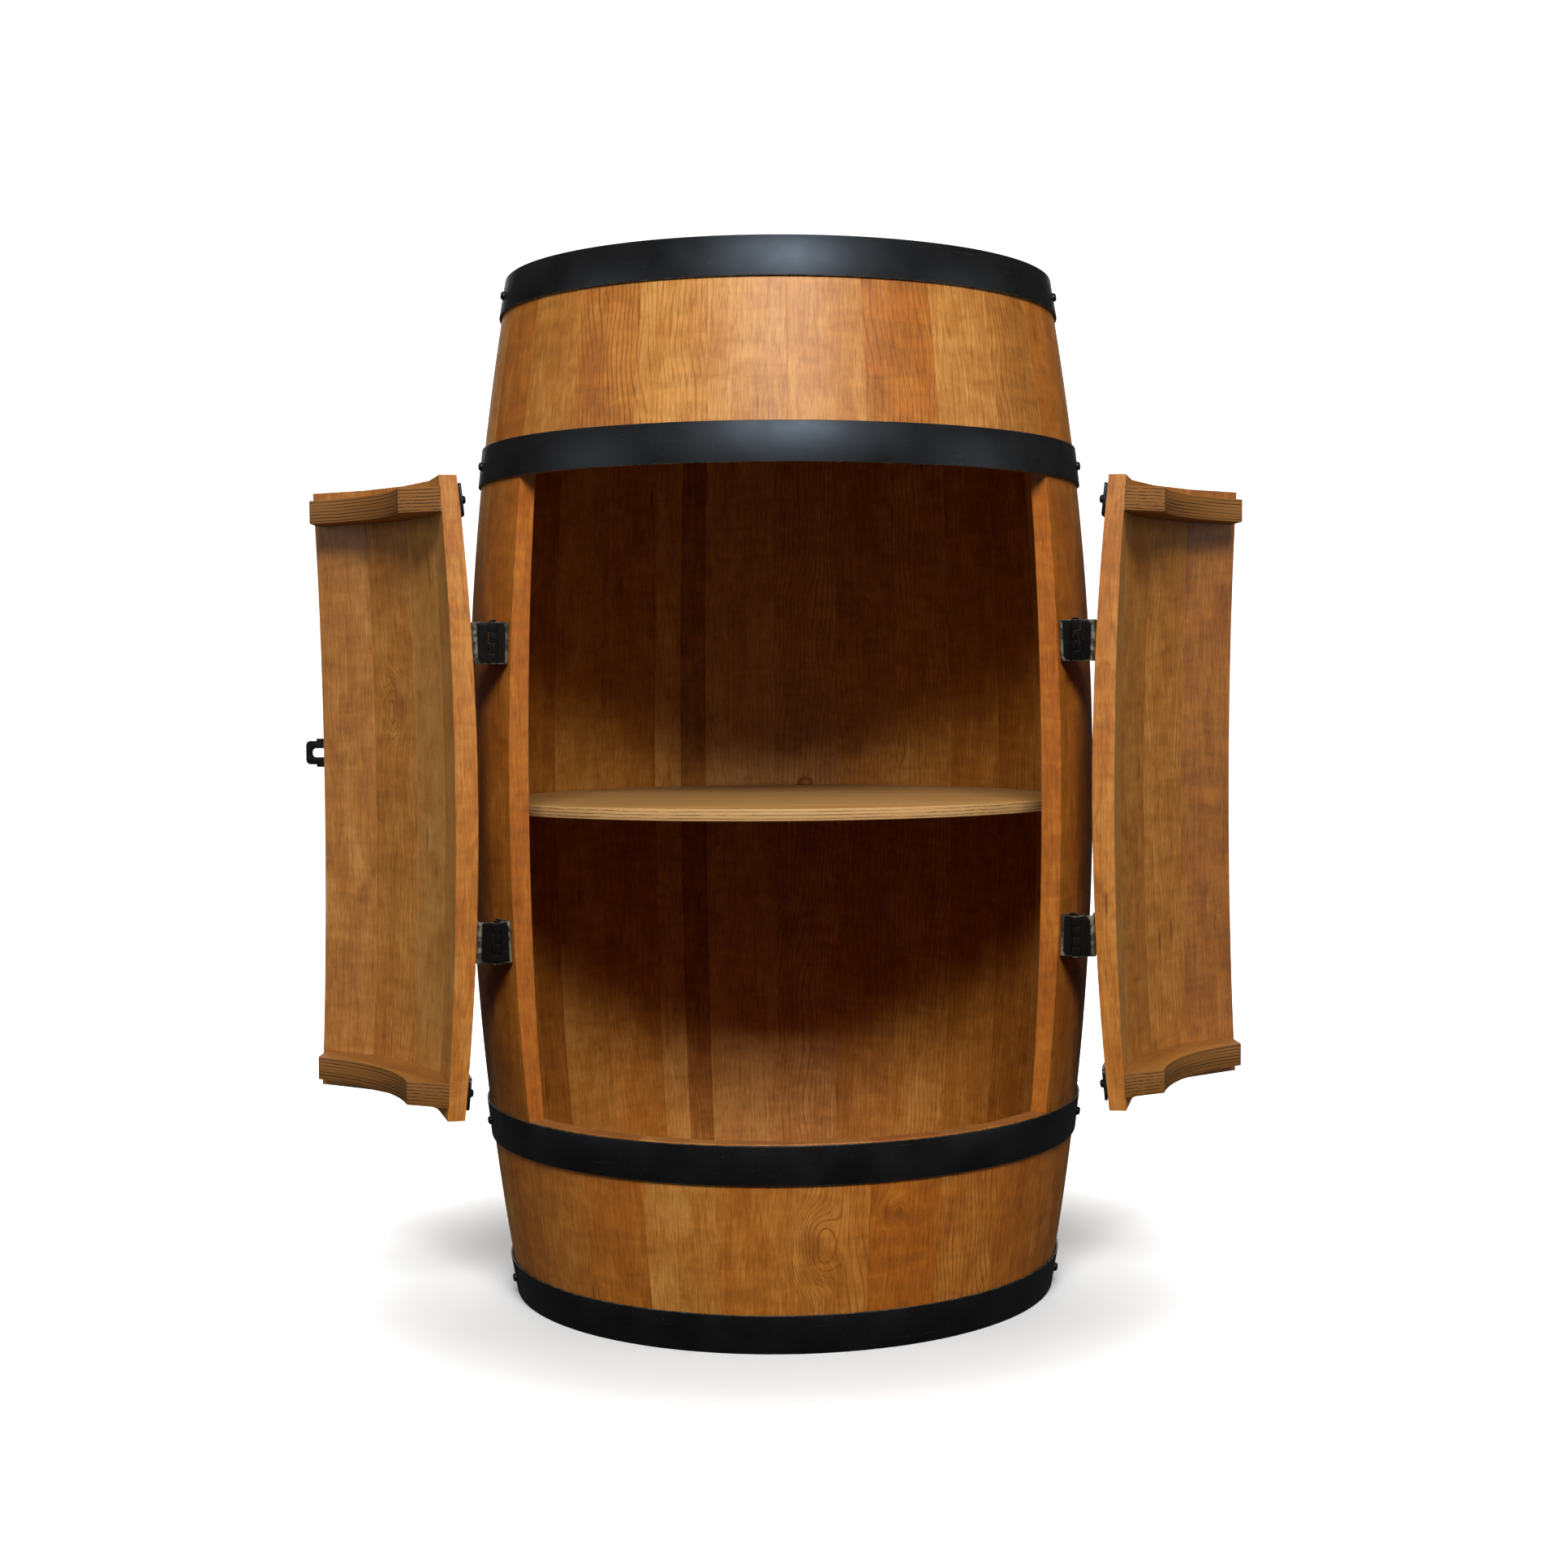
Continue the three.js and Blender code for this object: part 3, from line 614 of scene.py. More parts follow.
def about_barrel(azimuth):
    """Turns what was made facing the front, about the barrel's axis, and puts it in place."""
    return Matrix.Translation((AXIS_X, 0, 0)) @ Matrix.Rotation(azimuth, 4, "Z")


def door_swing(side):
    """Takes a door piece from its closed place to its open one."""
    axis = plan_point(HINGE_AXIS_RADIUS, side * DOOR_ANGLE)
    to_axis = Matrix.Translation((axis.x + AXIS_X, axis.y, 0))
    return to_axis @ Matrix.Rotation(side * DOOR_OPEN, 4, "Z") @ to_axis.inverted()


def dress(made, material, body, nodes, angle=35.0):
    """Material, shading, the body it rides on and the CAD nodes that it stands for."""
    made.data.materials.clear()
    made.data.materials.append(material)
    smooth(made, angle)
    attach(made, body)
    if nodes:
        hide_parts(*nodes)
    return made


def geometry_tree(name, inputs):
    """A geometry tree with a geometry in and out, and named inputs for its sizes."""
    tree = bpy.data.node_groups.new(name, "GeometryNodeTree")
    tree.interface.new_socket("Geometry", in_out="INPUT", socket_type="NodeSocketGeometry")
    for label, kind in inputs.items():
        tree.interface.new_socket(label, in_out="INPUT", socket_type=kind)
    tree.interface.new_socket("Geometry", in_out="OUTPUT", socket_type="NodeSocketGeometry")
    return tree, tree.nodes.new("NodeGroupInput").outputs


def with_tree(made, tree, values):
    """Puts the tree on the object, and sets each input by its socket's identifier."""
    modifier = made.modifiers.new(tree.name, "NODES")
    modifier.node_group = tree
    for item in tree.interface.items_tree:
        if item.item_type == "SOCKET" and item.in_out == "INPUT" and item.name in values:
            modifier[item.identifier] = values[item.name]
    return applied(made)


# Staves
def stave_tree():
    """Repeats a flat board side by side and bends the boards into the barrel's bulging wall.

    The board's x runs across it from 0 to 1, y through it from 0 inside to 1 outside,
    and z is its height in metres.
    """
    tree, given = geometry_tree(
        "staves bent into a barrel",
        {
            "Count": "NodeSocketInt",
            "First Azimuth": "NodeSocketFloat",
            "Start Inset": "NodeSocketFloat",
            "End Inset": "NodeSocketFloat",
            "Seed": "NodeSocketInt",
            "Finish": "NodeSocketMaterial",
        },
    )
    half_angle = STAVE_ANGLE / 2
    points = add(tree, "GeometryNodePoints", given["Count"])
    boards = add(tree, "GeometryNodeInstanceOnPoints", {"Points": points, "Instance": given[0]})
    numbered = add(
        tree,
        "GeometryNodeStoreNamedAttribute",
        {"Geometry": boards, "Name": "number", "Value": add(tree, "GeometryNodeInputIndex")},
        data_type="FLOAT",
        domain="INSTANCE",
    )
    shift = add(
        tree,
        "FunctionNodeRandomValue",
        {"Max": (7.0, 7.0, 7.0), "Seed": given["Seed"]},
        data_type="FLOAT_VECTOR",
    )
    shifted = add(
        tree,
        "GeometryNodeStoreNamedAttribute",
        {"Geometry": numbered, "Name": "shift", "Value": shift},
        data_type="FLOAT_VECTOR",
        domain="INSTANCE",
    )
    flat = add(tree, "GeometryNodeRealizeInstances", shifted)
    number = add(tree, "GeometryNodeInputNamedAttribute", "number", data_type="FLOAT")
    offset = add(tree, "GeometryNodeInputNamedAttribute", "shift", data_type="FLOAT_VECTOR")

    where = add(tree, "ShaderNodeSeparateXYZ", add(tree, "GeometryNodeInputPosition"))
    across, through, height = where.node.outputs
    from_middle = add(tree, "ShaderNodeMath", height, MIDDLE, operation="SUBTRACT")
    squared = add(tree, "ShaderNodeMath", from_middle, from_middle, operation="MULTIPLY")
    inside_root = add(tree, "ShaderNodeMath", ARC_RADIUS**2, squared, operation="SUBTRACT")
    root = add(tree, "ShaderNodeMath", inside_root, operation="SQRT")
    outer = add(tree, "ShaderNodeMath", root, BILGE_RADIUS - ARC_RADIUS, operation="ADD")
    share = add(tree, "ShaderNodeMath", squared, -1 / MIDDLE**2, 1.0, operation="MULTIPLY_ADD")
    eased = add(tree, "ShaderNodeMath", share, share, operation="MULTIPLY")
    wall = add(
        tree,
        "ShaderNodeMath",
        eased,
        STAVE_THICKNESS - STAVE_END_THICKNESS,
        STAVE_END_THICKNESS,
        operation="MULTIPLY_ADD",
    )
    inner = add(tree, "ShaderNodeMath", outer, wall, operation="SUBTRACT")

    # Glued sides meet at their joint, and the two outer sides of a row may be set back from it
    is_first = add(tree, "ShaderNodeMath", number, 0.5, operation="LESS_THAN")
    last = add(tree, "ShaderNodeMath", given["Count"], 1.5, operation="SUBTRACT")
    is_last = add(tree, "ShaderNodeMath", number, last, operation="GREATER_THAN")
    start = add(tree, "ShaderNodeMix", is_first, {"A": 0.0, "B": given["Start Inset"]})
    finish = add(tree, "ShaderNodeMix", is_last, {"A": 0.0, "B": given["End Inset"]})
    start_lag = add(tree, "ShaderNodeMath", start, outer, operation="DIVIDE")
    start_turn = add(tree, "ShaderNodeMath", start_lag, half_angle, operation="SUBTRACT")
    end_lag = add(tree, "ShaderNodeMath", finish, outer, operation="DIVIDE")
    end_turn = add(tree, "ShaderNodeMath", half_angle, end_lag, operation="SUBTRACT")
    turn = add(tree, "ShaderNodeMix", across, {"A": start_turn, "B": end_turn})
    sine = add(tree, "ShaderNodeMath", turn, operation="SINE")
    outer_x = add(tree, "ShaderNodeMath", outer, sine, operation="MULTIPLY")
    cosine = add(tree, "ShaderNodeMath", turn, operation="COSINE")
    outer_depth = add(tree, "ShaderNodeMath", outer, cosine, operation="MULTIPLY")
    half_width = add(tree, "ShaderNodeMath", inner, math.tan(half_angle), operation="MULTIPLY")
    widen = 1 / math.cos(half_angle)
    start_cut = add(tree, "ShaderNodeMath", start, widen, operation="MULTIPLY")
    start_x = add(tree, "ShaderNodeMath", start_cut, half_width, operation="SUBTRACT")
    end_cut = add(tree, "ShaderNodeMath", finish, widen, operation="MULTIPLY")
    end_x = add(tree, "ShaderNodeMath", half_width, end_cut, operation="SUBTRACT")
    inner_x = add(tree, "ShaderNodeMix", across, {"A": start_x, "B": end_x})
    x = add(tree, "ShaderNodeMix", through, {"A": inner_x, "B": outer_x}, clamp_factor=False)
    depth = add(tree, "ShaderNodeMix", through, {"A": inner, "B": outer_depth}, clamp_factor=False)
    y = add(tree, "ShaderNodeMath", depth, -1.0, operation="MULTIPLY")
    bent = add(tree, "ShaderNodeCombineXYZ", x, y, height)
    middle = add(tree, "ShaderNodeMath", number, 0.5, operation="ADD")
    azimuth = add(
        tree, "ShaderNodeMath", middle, STAVE_ANGLE, given["First Azimuth"], operation="MULTIPLY_ADD"
    )
    turned = add(
        tree, "ShaderNodeVectorRotate", {"Vector": bent, "Angle": azimuth}, rotation_type="Z_AXIS"
    )
    placed = add(tree, "ShaderNodeVectorMath", turned, (AXIS_X, 0.0, 0.0), operation="ADD")

    # The wood's own directions: across, through and along the board, with a shift for each board
    below = add(tree, "ShaderNodeMath", through, wall, operation="MULTIPLY")
    own = add(tree, "ShaderNodeCombineXYZ", x, below, height)
    grain = add(tree, "ShaderNodeVectorMath", own, offset, operation="ADD")
    grained = add(
        tree,
        "GeometryNodeStoreNamedAttribute",
        {"Geometry": flat, "Name": "grain", "Value": grain},
        data_type="FLOAT_VECTOR",
        domain="POINT",
    )
    wall_made = add(tree, "GeometryNodeSetPosition", {"Geometry": grained, "Position": placed})
    painted = add(tree, "GeometryNodeSetMaterial", {"Geometry": wall_made, "Material": given["Finish"]})
    add(tree, "NodeGroupOutput", painted)
    return tree


STAVES = stave_tree()


def flat_board(name, rows, across_steps):
    """A board from rows of (height, inner side) and columns across, its arrises eased.

    The inner side is 0, or more where a groove or bevel is cut into the board from inside.
    """
    # Shares of the board's width and of its thickness
    arris, side_cut, end_cut = 0.004, 0.008, 0.02
    columns = [0.0, arris] + [i / across_steps for i in range(1, across_steps)] + [1 - arris, 1.0]
    eased = [side_cut if s in (0.0, 1.0) else 0.0 for s in columns]
    points, faces, kinds = [], [], []
    width, last = len(columns), len(rows) - 1
    for row, (height, inside) in enumerate(rows):
        end_ease = end_cut if row in (0, last) else 0.0
        for s, ease in zip(columns, eased):
            cut = max(ease, end_ease)
            points.append((s, inside + cut, height))
        for s, ease in zip(columns, eased):
            points.append((s, 1 - max(ease, end_ease), height))
    row_length = 2 * width

    def place(row, side, column):
        return row * row_length + side * width + column

    for row in range(last):
        for column in range(width - 1):
            a, b = place(row, 0, column), place(row, 0, column + 1)
            c, d = place(row + 1, 0, column + 1), place(row + 1, 0, column)
            faces.append((a, d, c, b)[::-1])
            kinds.append((0.0, 0.0, 1.0))
            a, b = place(row, 1, column), place(row, 1, column + 1)
            c, d = place(row + 1, 1, column + 1), place(row + 1, 1, column)
            faces.append((a, d, c, b))
            kinds.append((0.0, 0.0, 0.0))
        for column in (0, width - 1):
            a, b = place(row, 0, column), place(row, 1, column)
            c, d = place(row + 1, 1, column), place(row + 1, 0, column)
            face = (a, d, c, b)
            faces.append(face if column else face[::-1])
            kinds.append((1.0, 0.0, 0.0))
    for row in (0, last):
        for column in range(width - 1):
            a, b = place(row, 0, column), place(row, 0, column + 1)
            c, d = place(row, 1, column + 1), place(row, 1, column)
            face = (a, b, c, d)
            faces.append(face if row else face[::-1])
            kinds.append((0.0, 1.0, 0.0))
    made = from_faces(name, points, faces)
    set_attribute(made.data, "face", "FLOAT_VECTOR", "FACE", kinds)
    return made


def heights(low, high):
    """Heights from low to high, about 10 mm apart."""
    step = 0.01
    count = max(2, round((high - low) / step))
    return [low + (high - low) * i / count for i in range(count + 1)]


def wall_rows(low, high):
    """Rows of a board between two heights, with the croze and chime where it reaches an end."""
    ease = 0.0004
    rows = {z: 0.0 for z in heights(low, high)}
    rows[low + ease] = 0.0
    rows[high - ease] = 0.0
    for z_end, inwards in ((0.0, 1), (HEIGHT, -1)):
        if not low <= z_end <= high:
            continue
        groove = z_end + inwards * (HEAD_RECESS + HEAD_THICKNESS / 2)
        half = HEAD_TONGUE_THICKNESS / 2 + FIT_GAP
        chime = CHIME_BEVEL / wall_thickness(z_end)
        clear = [z for z in rows if abs(z - z_end) < CHIME_BEVEL or abs(z - groove) <= half]
        for z in clear:
            rows.pop(z)
        rows[z_end] = chime
        rows[z_end + inwards * ease] = chime * (1 - ease / CHIME_BEVEL)
        rows[z_end + inwards * CHIME_BEVEL] = 0.0
        depth = CROZE_DEPTH / wall_thickness(groove)
        step = 0.0002
        rows[groove - half - step] = rows[groove + half + step] = 0.0
        rows[groove - half] = rows[groove + half] = depth
    return sorted(rows.items())


def stave_row(name, span, count, first, insets, seed, looks):
    """A row of staves. A look is a board's (tone, warmth, figure); the rest are drawn by seed."""
    made = flat_board(name, wall_rows(*span), ACROSS_STEPS)
    sizes = {"Count": count, "First Azimuth": first, "Start Inset": insets[0], "End Inset": insets[1]}
    mesh = with_tree(made, STAVES, {**sizes, "Seed": seed, "Finish": BEECH}).data
    numbers = [round(v.value) for v in mesh.attributes["number"].data]
    rng = random.Random(seed)
    drawn = [(rng.uniform(-0.09, 0.08), rng.uniform(0.0, 0.2), rng.random()) for i in range(count)]
    boards = [looks.get(i, drawn[i]) for i in range(count)]
    of_face = [boards[numbers[p.vertices[0]]] for p in mesh.polygons]
    set_attribute(mesh, "board", "FLOAT_VECTOR", "FACE", of_face)
    return made


# The front's boards over and under the doors, each with its tone, warmth and figure
TOP_BOARDS = {
    0: (-0.03, 0.0, 0.3),
    1: (-0.06, 0.2, 0.85),
    2: (0.08, 0.0, 0.7),
    3: (0.05, 0.0, 0.2),
    4: (0.03, 0.06, 0.1),
    5: (-0.08, 0.4, 0.6),
    6: (0.03, 0.0, 0.55),
    7: (-0.05, 0.0, 0.75),
}
# The boards under the doors carry more warmth than those over them: painted shade for the dimmer light
# low down
BOTTOM_BOARDS = {
    0: (-0.02, 0.4, 0.2),
    1: (-0.07, 0.6, 0.3),
    2: (0.07, 0.3, 0.35),
    3: (-0.02, 0.5, 0.3),
    4: (0.04, 0.45, 0.65),
    5: (-0.07, 0.8, 0.5),
    6: (0.0, 0.55, 0.8),
    7: (-0.06, 0.7, 0.3),
}
# The full staves: the first and last flank the opening, and the middle ones close the back
FULL_STAVES = {
    0: (-0.04, 0.6, 0.3),
    5: (-0.05, 0.1, 0.5),
    6: (0.02, 0.05, 0.7),
    7: (-0.06, 0.12, 0.5),
    8: (-0.01, 0.08, 0.75),
    9: (0.04, 0.05, 0.3),
    10: (0.06, 0.02, 0.2),
    11: (-0.04, 0.14, 0.45),
    12: (0.03, 0.0, 0.25),
    13: (-0.09, 0.15, 0.3),
    17: (-0.06, 0.5, 0.35),
}
# The doors' inner faces, then their planed edges and their outer faces. The boards by the hinges
# (the left door's first two, the right door's last) are toned lighter inside: painted light, for
# inner faces turned away from the front softbox.
LEFT_DOOR_STAVES = {0: (0.15, 0.2, 0.2), 1: (0.12, 0.0, 0.3), 2: (-0.02, 0.0, 0.5), 3: (-0.04, 0.0, 0.35)}
RIGHT_DOOR_STAVES = {
    0: (-0.16, 0.1, 0.3), 1: (-0.02, 0.0, 0.6), 2: (-0.03, 0.02, 0.35), 3: (0.15, 0.2, 0.2)
}
DOOR_EDGE = (0.02, 0.15, 0.5)
LEFT_OUTSIDE = [(-0.06, 0.5, 0.3), (0.03, 0.2, 0.75), (-0.1, 0.6, 0.2), (0.0, 0.3, 0.6)]
RIGHT_OUTSIDE = [(0.05, 0.2, 0.5), (-0.07, 0.6, 0.3), (0.01, 0.3, 0.85), (-0.04, 0.5, 0.3)]
HEARTWOOD_STAVE = 10
HEARTWOOD = (-0.22, 0.0, 0.1)
HEARTWOOD_SHARES = (1 / 7, 4 / 7)


def build_staves():
    full_count = STAVE_COUNT - 2 * DOOR_STAVES
    no_gap = (0.0, 0.0)
    made = stave_row("full_staves", (0.0, HEIGHT), full_count, DOOR_ANGLE, no_gap, 11, FULL_STAVES)
    # A dark strip of heartwood runs the length of one board at the back, and shows inside
    start = DOOR_ANGLE + HEARTWOOD_STAVE * STAVE_ANGLE
    board = made.data.attributes["board"].data
    face = made.data.attributes["face"].data
    for polygon in made.data.polygons:
        azimuth = math.atan2(polygon.center.x - AXIS_X, -polygon.center.y) % (2 * math.pi)
        share = (azimuth - start) / STAVE_ANGLE
        if HEARTWOOD_SHARES[0] < share < HEARTWOOD_SHARES[1] and face[polygon.index].vector.z > 0.5:
            board[polygon.index].vector = HEARTWOOD
    nodes = [f"stave_{i + 1:02d}" for i in range(full_count)]
    dress(made, BEECH, "barrel", nodes, 12)
    for name, span, seed, looks in (
        ("front_top", (OPENING_TOP, HEIGHT), 23, TOP_BOARDS),
        ("front_bottom", (0.0, OPENING_BOTTOM), 37, BOTTOM_BOARDS),
    ):
        made = stave_row(f"{name}_staves", span, 2 * DOOR_STAVES, -DOOR_ANGLE, no_gap, seed, looks)
        dress(made, BEECH, "barrel", [f"{name}_panel"], 12)


def build_door_staves(name, side, seed, looks, outside):
    """A door's boards, with edges of one tone and outer faces that differ as the barrel's do."""
    insets = (MEETING_GAP / 2, HINGE_SIDE_GAP) if side > 0 else (HINGE_SIDE_GAP, MEETING_GAP / 2)
    first = 0.0 if side > 0 else -DOOR_ANGLE
    span = (DOOR_BOTTOM, DOOR_TOP)
    made = stave_row(f"{name}_staves", span, DOOR_STAVES, first, insets, seed, looks)
    board = made.data.attributes["board"].data
    face = made.data.attributes["face"].data
    number = made.data.attributes["number"].data
    for polygon in made.data.polygons:
        edge, _, inner = face[polygon.index].vector
        if edge > 0.5:
            board[polygon.index].vector = DOOR_EDGE
        elif inner < 0.5:
            board[polygon.index].vector = outside[round(number[polygon.vertices[0]].value)]
    moved(made, door_swing(side))
    dress(made, BEECH, name, [f"{name}_panel"], 12)


build_staves()
build_door_staves("left_door", -1, 49, LEFT_DOOR_STAVES, LEFT_OUTSIDE)
build_door_staves("right_door", 1, 51, RIGHT_DOOR_STAVES, RIGHT_OUTSIDE)


# Steel strip bent round the barrel
def strip_tree():
    """Bends a flat strip round the barrel. Its x is the length, y the thickness, z the height."""
    tree, given = geometry_tree(
        "strip bent round a barrel",
        {
            "Low": "NodeSocketFloat",
            "High": "NodeSocketFloat",
            "Low Radius": "NodeSocketFloat",
            "High Radius": "NodeSocketFloat",
            "Azimuth": "NodeSocketFloat",
            "Finish": "NodeSocketMaterial",
        },
    )
    where = add(tree, "ShaderNodeSeparateXYZ", add(tree, "GeometryNodeInputPosition"))
    length, out_from_wood, height = where.node.outputs
    radius = add(
        tree,
        "ShaderNodeMapRange",
        {
            "Value": height,
            "From Min": given["Low"],
            "From Max": given["High"],
            "To Min": given["Low Radius"],
            "To Max": given["High Radius"],
        },
        clamp=False,
    )
    both = add(tree, "ShaderNodeMath", given["Low Radius"], given["High Radius"], operation="ADD")
    mean = add(tree, "ShaderNodeMath", both, 0.5, operation="MULTIPLY")
    bend = add(tree, "ShaderNodeMath", length, mean, operation="DIVIDE")
    turn = add(tree, "ShaderNodeMath", bend, given["Azimuth"], operation="ADD")
    reach = add(tree, "ShaderNodeMath", radius, out_from_wood, operation="ADD")
    sine = add(tree, "ShaderNodeMath", turn, operation="SINE")
    x = add(tree, "ShaderNodeMath", reach, sine, operation="MULTIPLY")
    cosine = add(tree, "ShaderNodeMath", turn, operation="COSINE")
    depth = add(tree, "ShaderNodeMath", reach, cosine, operation="MULTIPLY")
    y = add(tree, "ShaderNodeMath", depth, -1.0, operation="MULTIPLY")
    bent = add(tree, "ShaderNodeCombineXYZ", x, y, height)
    placed = add(tree, "ShaderNodeVectorMath", bent, (AXIS_X, 0.0, 0.0), operation="ADD")
    made = add(tree, "GeometryNodeSetPosition", {"Geometry": given["Geometry"], "Position": placed})
    real = add(tree, "GeometryNodeRealizeInstances", made)
    painted = add(tree, "GeometryNodeSetMaterial", {"Geometry": real, "Material": given["Finish"]})
    add(tree, "NodeGroupOutput", painted)
    return tree


STRIP = strip_tree()


def bent_round(made, low, high, azimuth, finish):
    return with_tree(
        made,
        STRIP,
        {
            "Low": low,
            "High": high,
            "Low Radius": outer_radius(low) + FIT_GAP,
            "High Radius": outer_radius(high) + FIT_GAP,
            "Azimuth": azimuth,
            "Finish": finish,
        },
    )


def rounded_section(thickness, low, high, radius):
    """The section of a rolled strip as (out, height) pairs, its corners rounded."""
    steps = 3
    corners = [
        (radius, low + radius, math.pi),
        (thickness - radius, low + radius, -math.pi / 2),
        (thickness - radius, high - radius, 0.0),
        (radius, high - radius, math.pi / 2),
    ]
    return [
        (y + radius * math.cos(start + t), z + radius * math.sin(start + t))
        for y, z, start in corners
        for t in [math.pi / 2 * i / steps for i in range(steps + 1)]
    ]


def arris_wear(z, low, high):
    """Full wear on the strip's lower arris, nearly as much on its upper one and none between."""
    rim = 0.0005
    if z < low + rim:
        return 1.0
    return 0.85 if z > high - rim else 0.0


def build_hoop(name, low):
    high = low + HOOP_HEIGHT
    section = rounded_section(HOOP_THICKNESS, low, high, HOOP_ARRIS)
    around = 208
    length = math.pi * (outer_radius(low) + outer_radius(high) + 2 * FIT_GAP)
    points = [(length * i / around, y, z) for i in range(around) for y, z in section]
    count = len(section)
    faces = []
    for i in range(around):
        for j in range(count):
            a, b = i * count + j, i * count + (j + 1) % count
            c, d = ((i + 1) % around) * count + (j + 1) % count, ((i + 1) % around) * count + j
            faces.append((a, b, c, d)[::-1])
    made = from_faces(f"{name}_strip", points, faces)
    wear_and_highlight_share = [arris_wear(z, low, high) for x, y, z in points]
    set_attribute(made.data, "wear_and_highlight", "FLOAT", "POINT", wear_and_highlight_share)
    bent_round(made, low, high, 0.0, HOOP_PAINT)
    dress(made, HOOP_PAINT, "barrel", [name])


for hoop_name, hoop_low in HOOP_BOTTOMS.items():
    build_hoop(hoop_name, hoop_low)


# Strips: bands and the hasp's plate
def strip_blank(name, stations, thickness, ease):
    """A flat strip from stations along it: (place, low, high, inset of its end section)."""
    points, faces = [], []
    for place, low, high, inset in stations:
        section = rounded_section(thickness - 2 * inset, low + inset, high - inset, ease)
        points += [(place, y + inset, z) for y, z in section]
    count = len(points) // len(stations)
    for i in range(len(stations) - 1):
        for j in range(count):
            a, b = i * count + j, i * count + (j + 1) % count
            faces.append((a, a + count, b + count, b))
    last = (len(stations) - 1) * count
    faces.append(tuple(range(count)))
    faces.append(tuple(range(last, last + count))[::-1])
    return from_faces(name, points, faces)


def square_end(start, inwards, low, high, corner, ease):
    """Stations of a square-cut end with eased corners, from its very end inwards."""
    made = [
        (start, low + corner, high - corner, ease),
        (start + inwards * ease, low + corner * 0.8, high - corner * 0.8, 0.0),
    ]
    for i in range(1, 6):
        turn = math.pi / 2 * i / 5
        drop = corner * (1 - math.sin(turn))
        place = start + inwards * (ease + (corner - ease) * (1 - math.cos(turn)))
        made.append((place, low + drop, high - drop, 0.0))
    return made


def build_band(name, level, side):
    height = BATTEN_BOTTOMS[level] + BATTEN_THICKNESS / 2
    low, high = height - BAND_HEIGHT / 2, height + BAND_HEIGHT / 2
    mean = (outer_radius(low) + outer_radius(high)) / 2 + FIT_GAP
    near = MEETING_GAP / 2 + BAND_END_INSET
    far = mean * DOOR_ANGLE - HINGE_SIDE_GAP - BAND_END_INSET
    steps = [(far - near) * i / BAND_STEPS for i in range(1, BAND_STEPS)]
    between = [step for step in steps if BAND_CORNER < step < far - near - BAND_CORNER]
    stations = square_end(near, 1, low, high, BAND_CORNER, BAND_EASE)
    stations += [(near + step, low, high, 0.0) for step in between]
    stations += square_end(far, -1, low, high, BAND_CORNER, BAND_EASE)[::-1]
    if side < 0:
        stations = [(-place, *rest) for place, *rest in stations[::-1]]
    made = strip_blank(f"{name}_{level}_band_strip", stations, BAND_THICKNESS, BAND_EASE)
    bent_round(made, low, high, 0.0, BAND_PAINT)
    moved(made, door_swing(side))
    dress(made, BAND_PAINT, name, [f"{name}_{level}_band"])


for door, door_side in DOORS.items():
    for band_level in BATTEN_BOTTOMS:
        build_band(door, band_level, door_side)


# Hinges
HINGE_REACH = HINGE_AXIS_RADIUS - outer_radius(HINGE_LEVELS["upper"])


def leaf_line():
    """The leaf's middle line in plan, from the flange's end to the end of its curl.

    Each point is (across, outwards, part, mark): outwards is measured from the wood in the
    flange and riser, and from the hinge's axis in the curl. The mark is set on the bend between
    flange and riser, which the paint shows pale: a painted highlight for the light the bend
    catches, broken into chips of bare steel.
    """
    lift = FIT_GAP + LEAF_THICKNESS / 2
    riser_x = KNUCKLE_RADIUS - LEAF_THICKNESS / 2
    bend = 0.0022
    curl = math.radians(290)
    line = [
        (FLANGE_WIDTH + (riser_x + bend - FLANGE_WIDTH) * i / 14, lift, "leaf", 0.0) for i in range(14)
    ]
    line += [
        (riser_x + bend - bend * math.sin(t), lift + bend - bend * math.cos(t), "leaf", 1.0)
        for t in [math.pi / 2 * i / 8 for i in range(9)]
    ]
    notch = HINGE_REACH - KNUCKLE_RADIUS - NOTCH_GAP
    foot = lift + bend
    line += [(riser_x, foot + (notch - foot) * i / 3, "leaf", 0.0) for i in range(1, 4)]
    line += [(riser_x, notch + (HINGE_REACH - notch) * i / 2, "riser", 0.0) for i in (1, 2)]
    line += [
        (riser_x * math.cos(t), riser_x * math.sin(t), "curl", 0.0)
        for t in [curl * i / 30 for i in range(1, 31)]
    ]
    return line


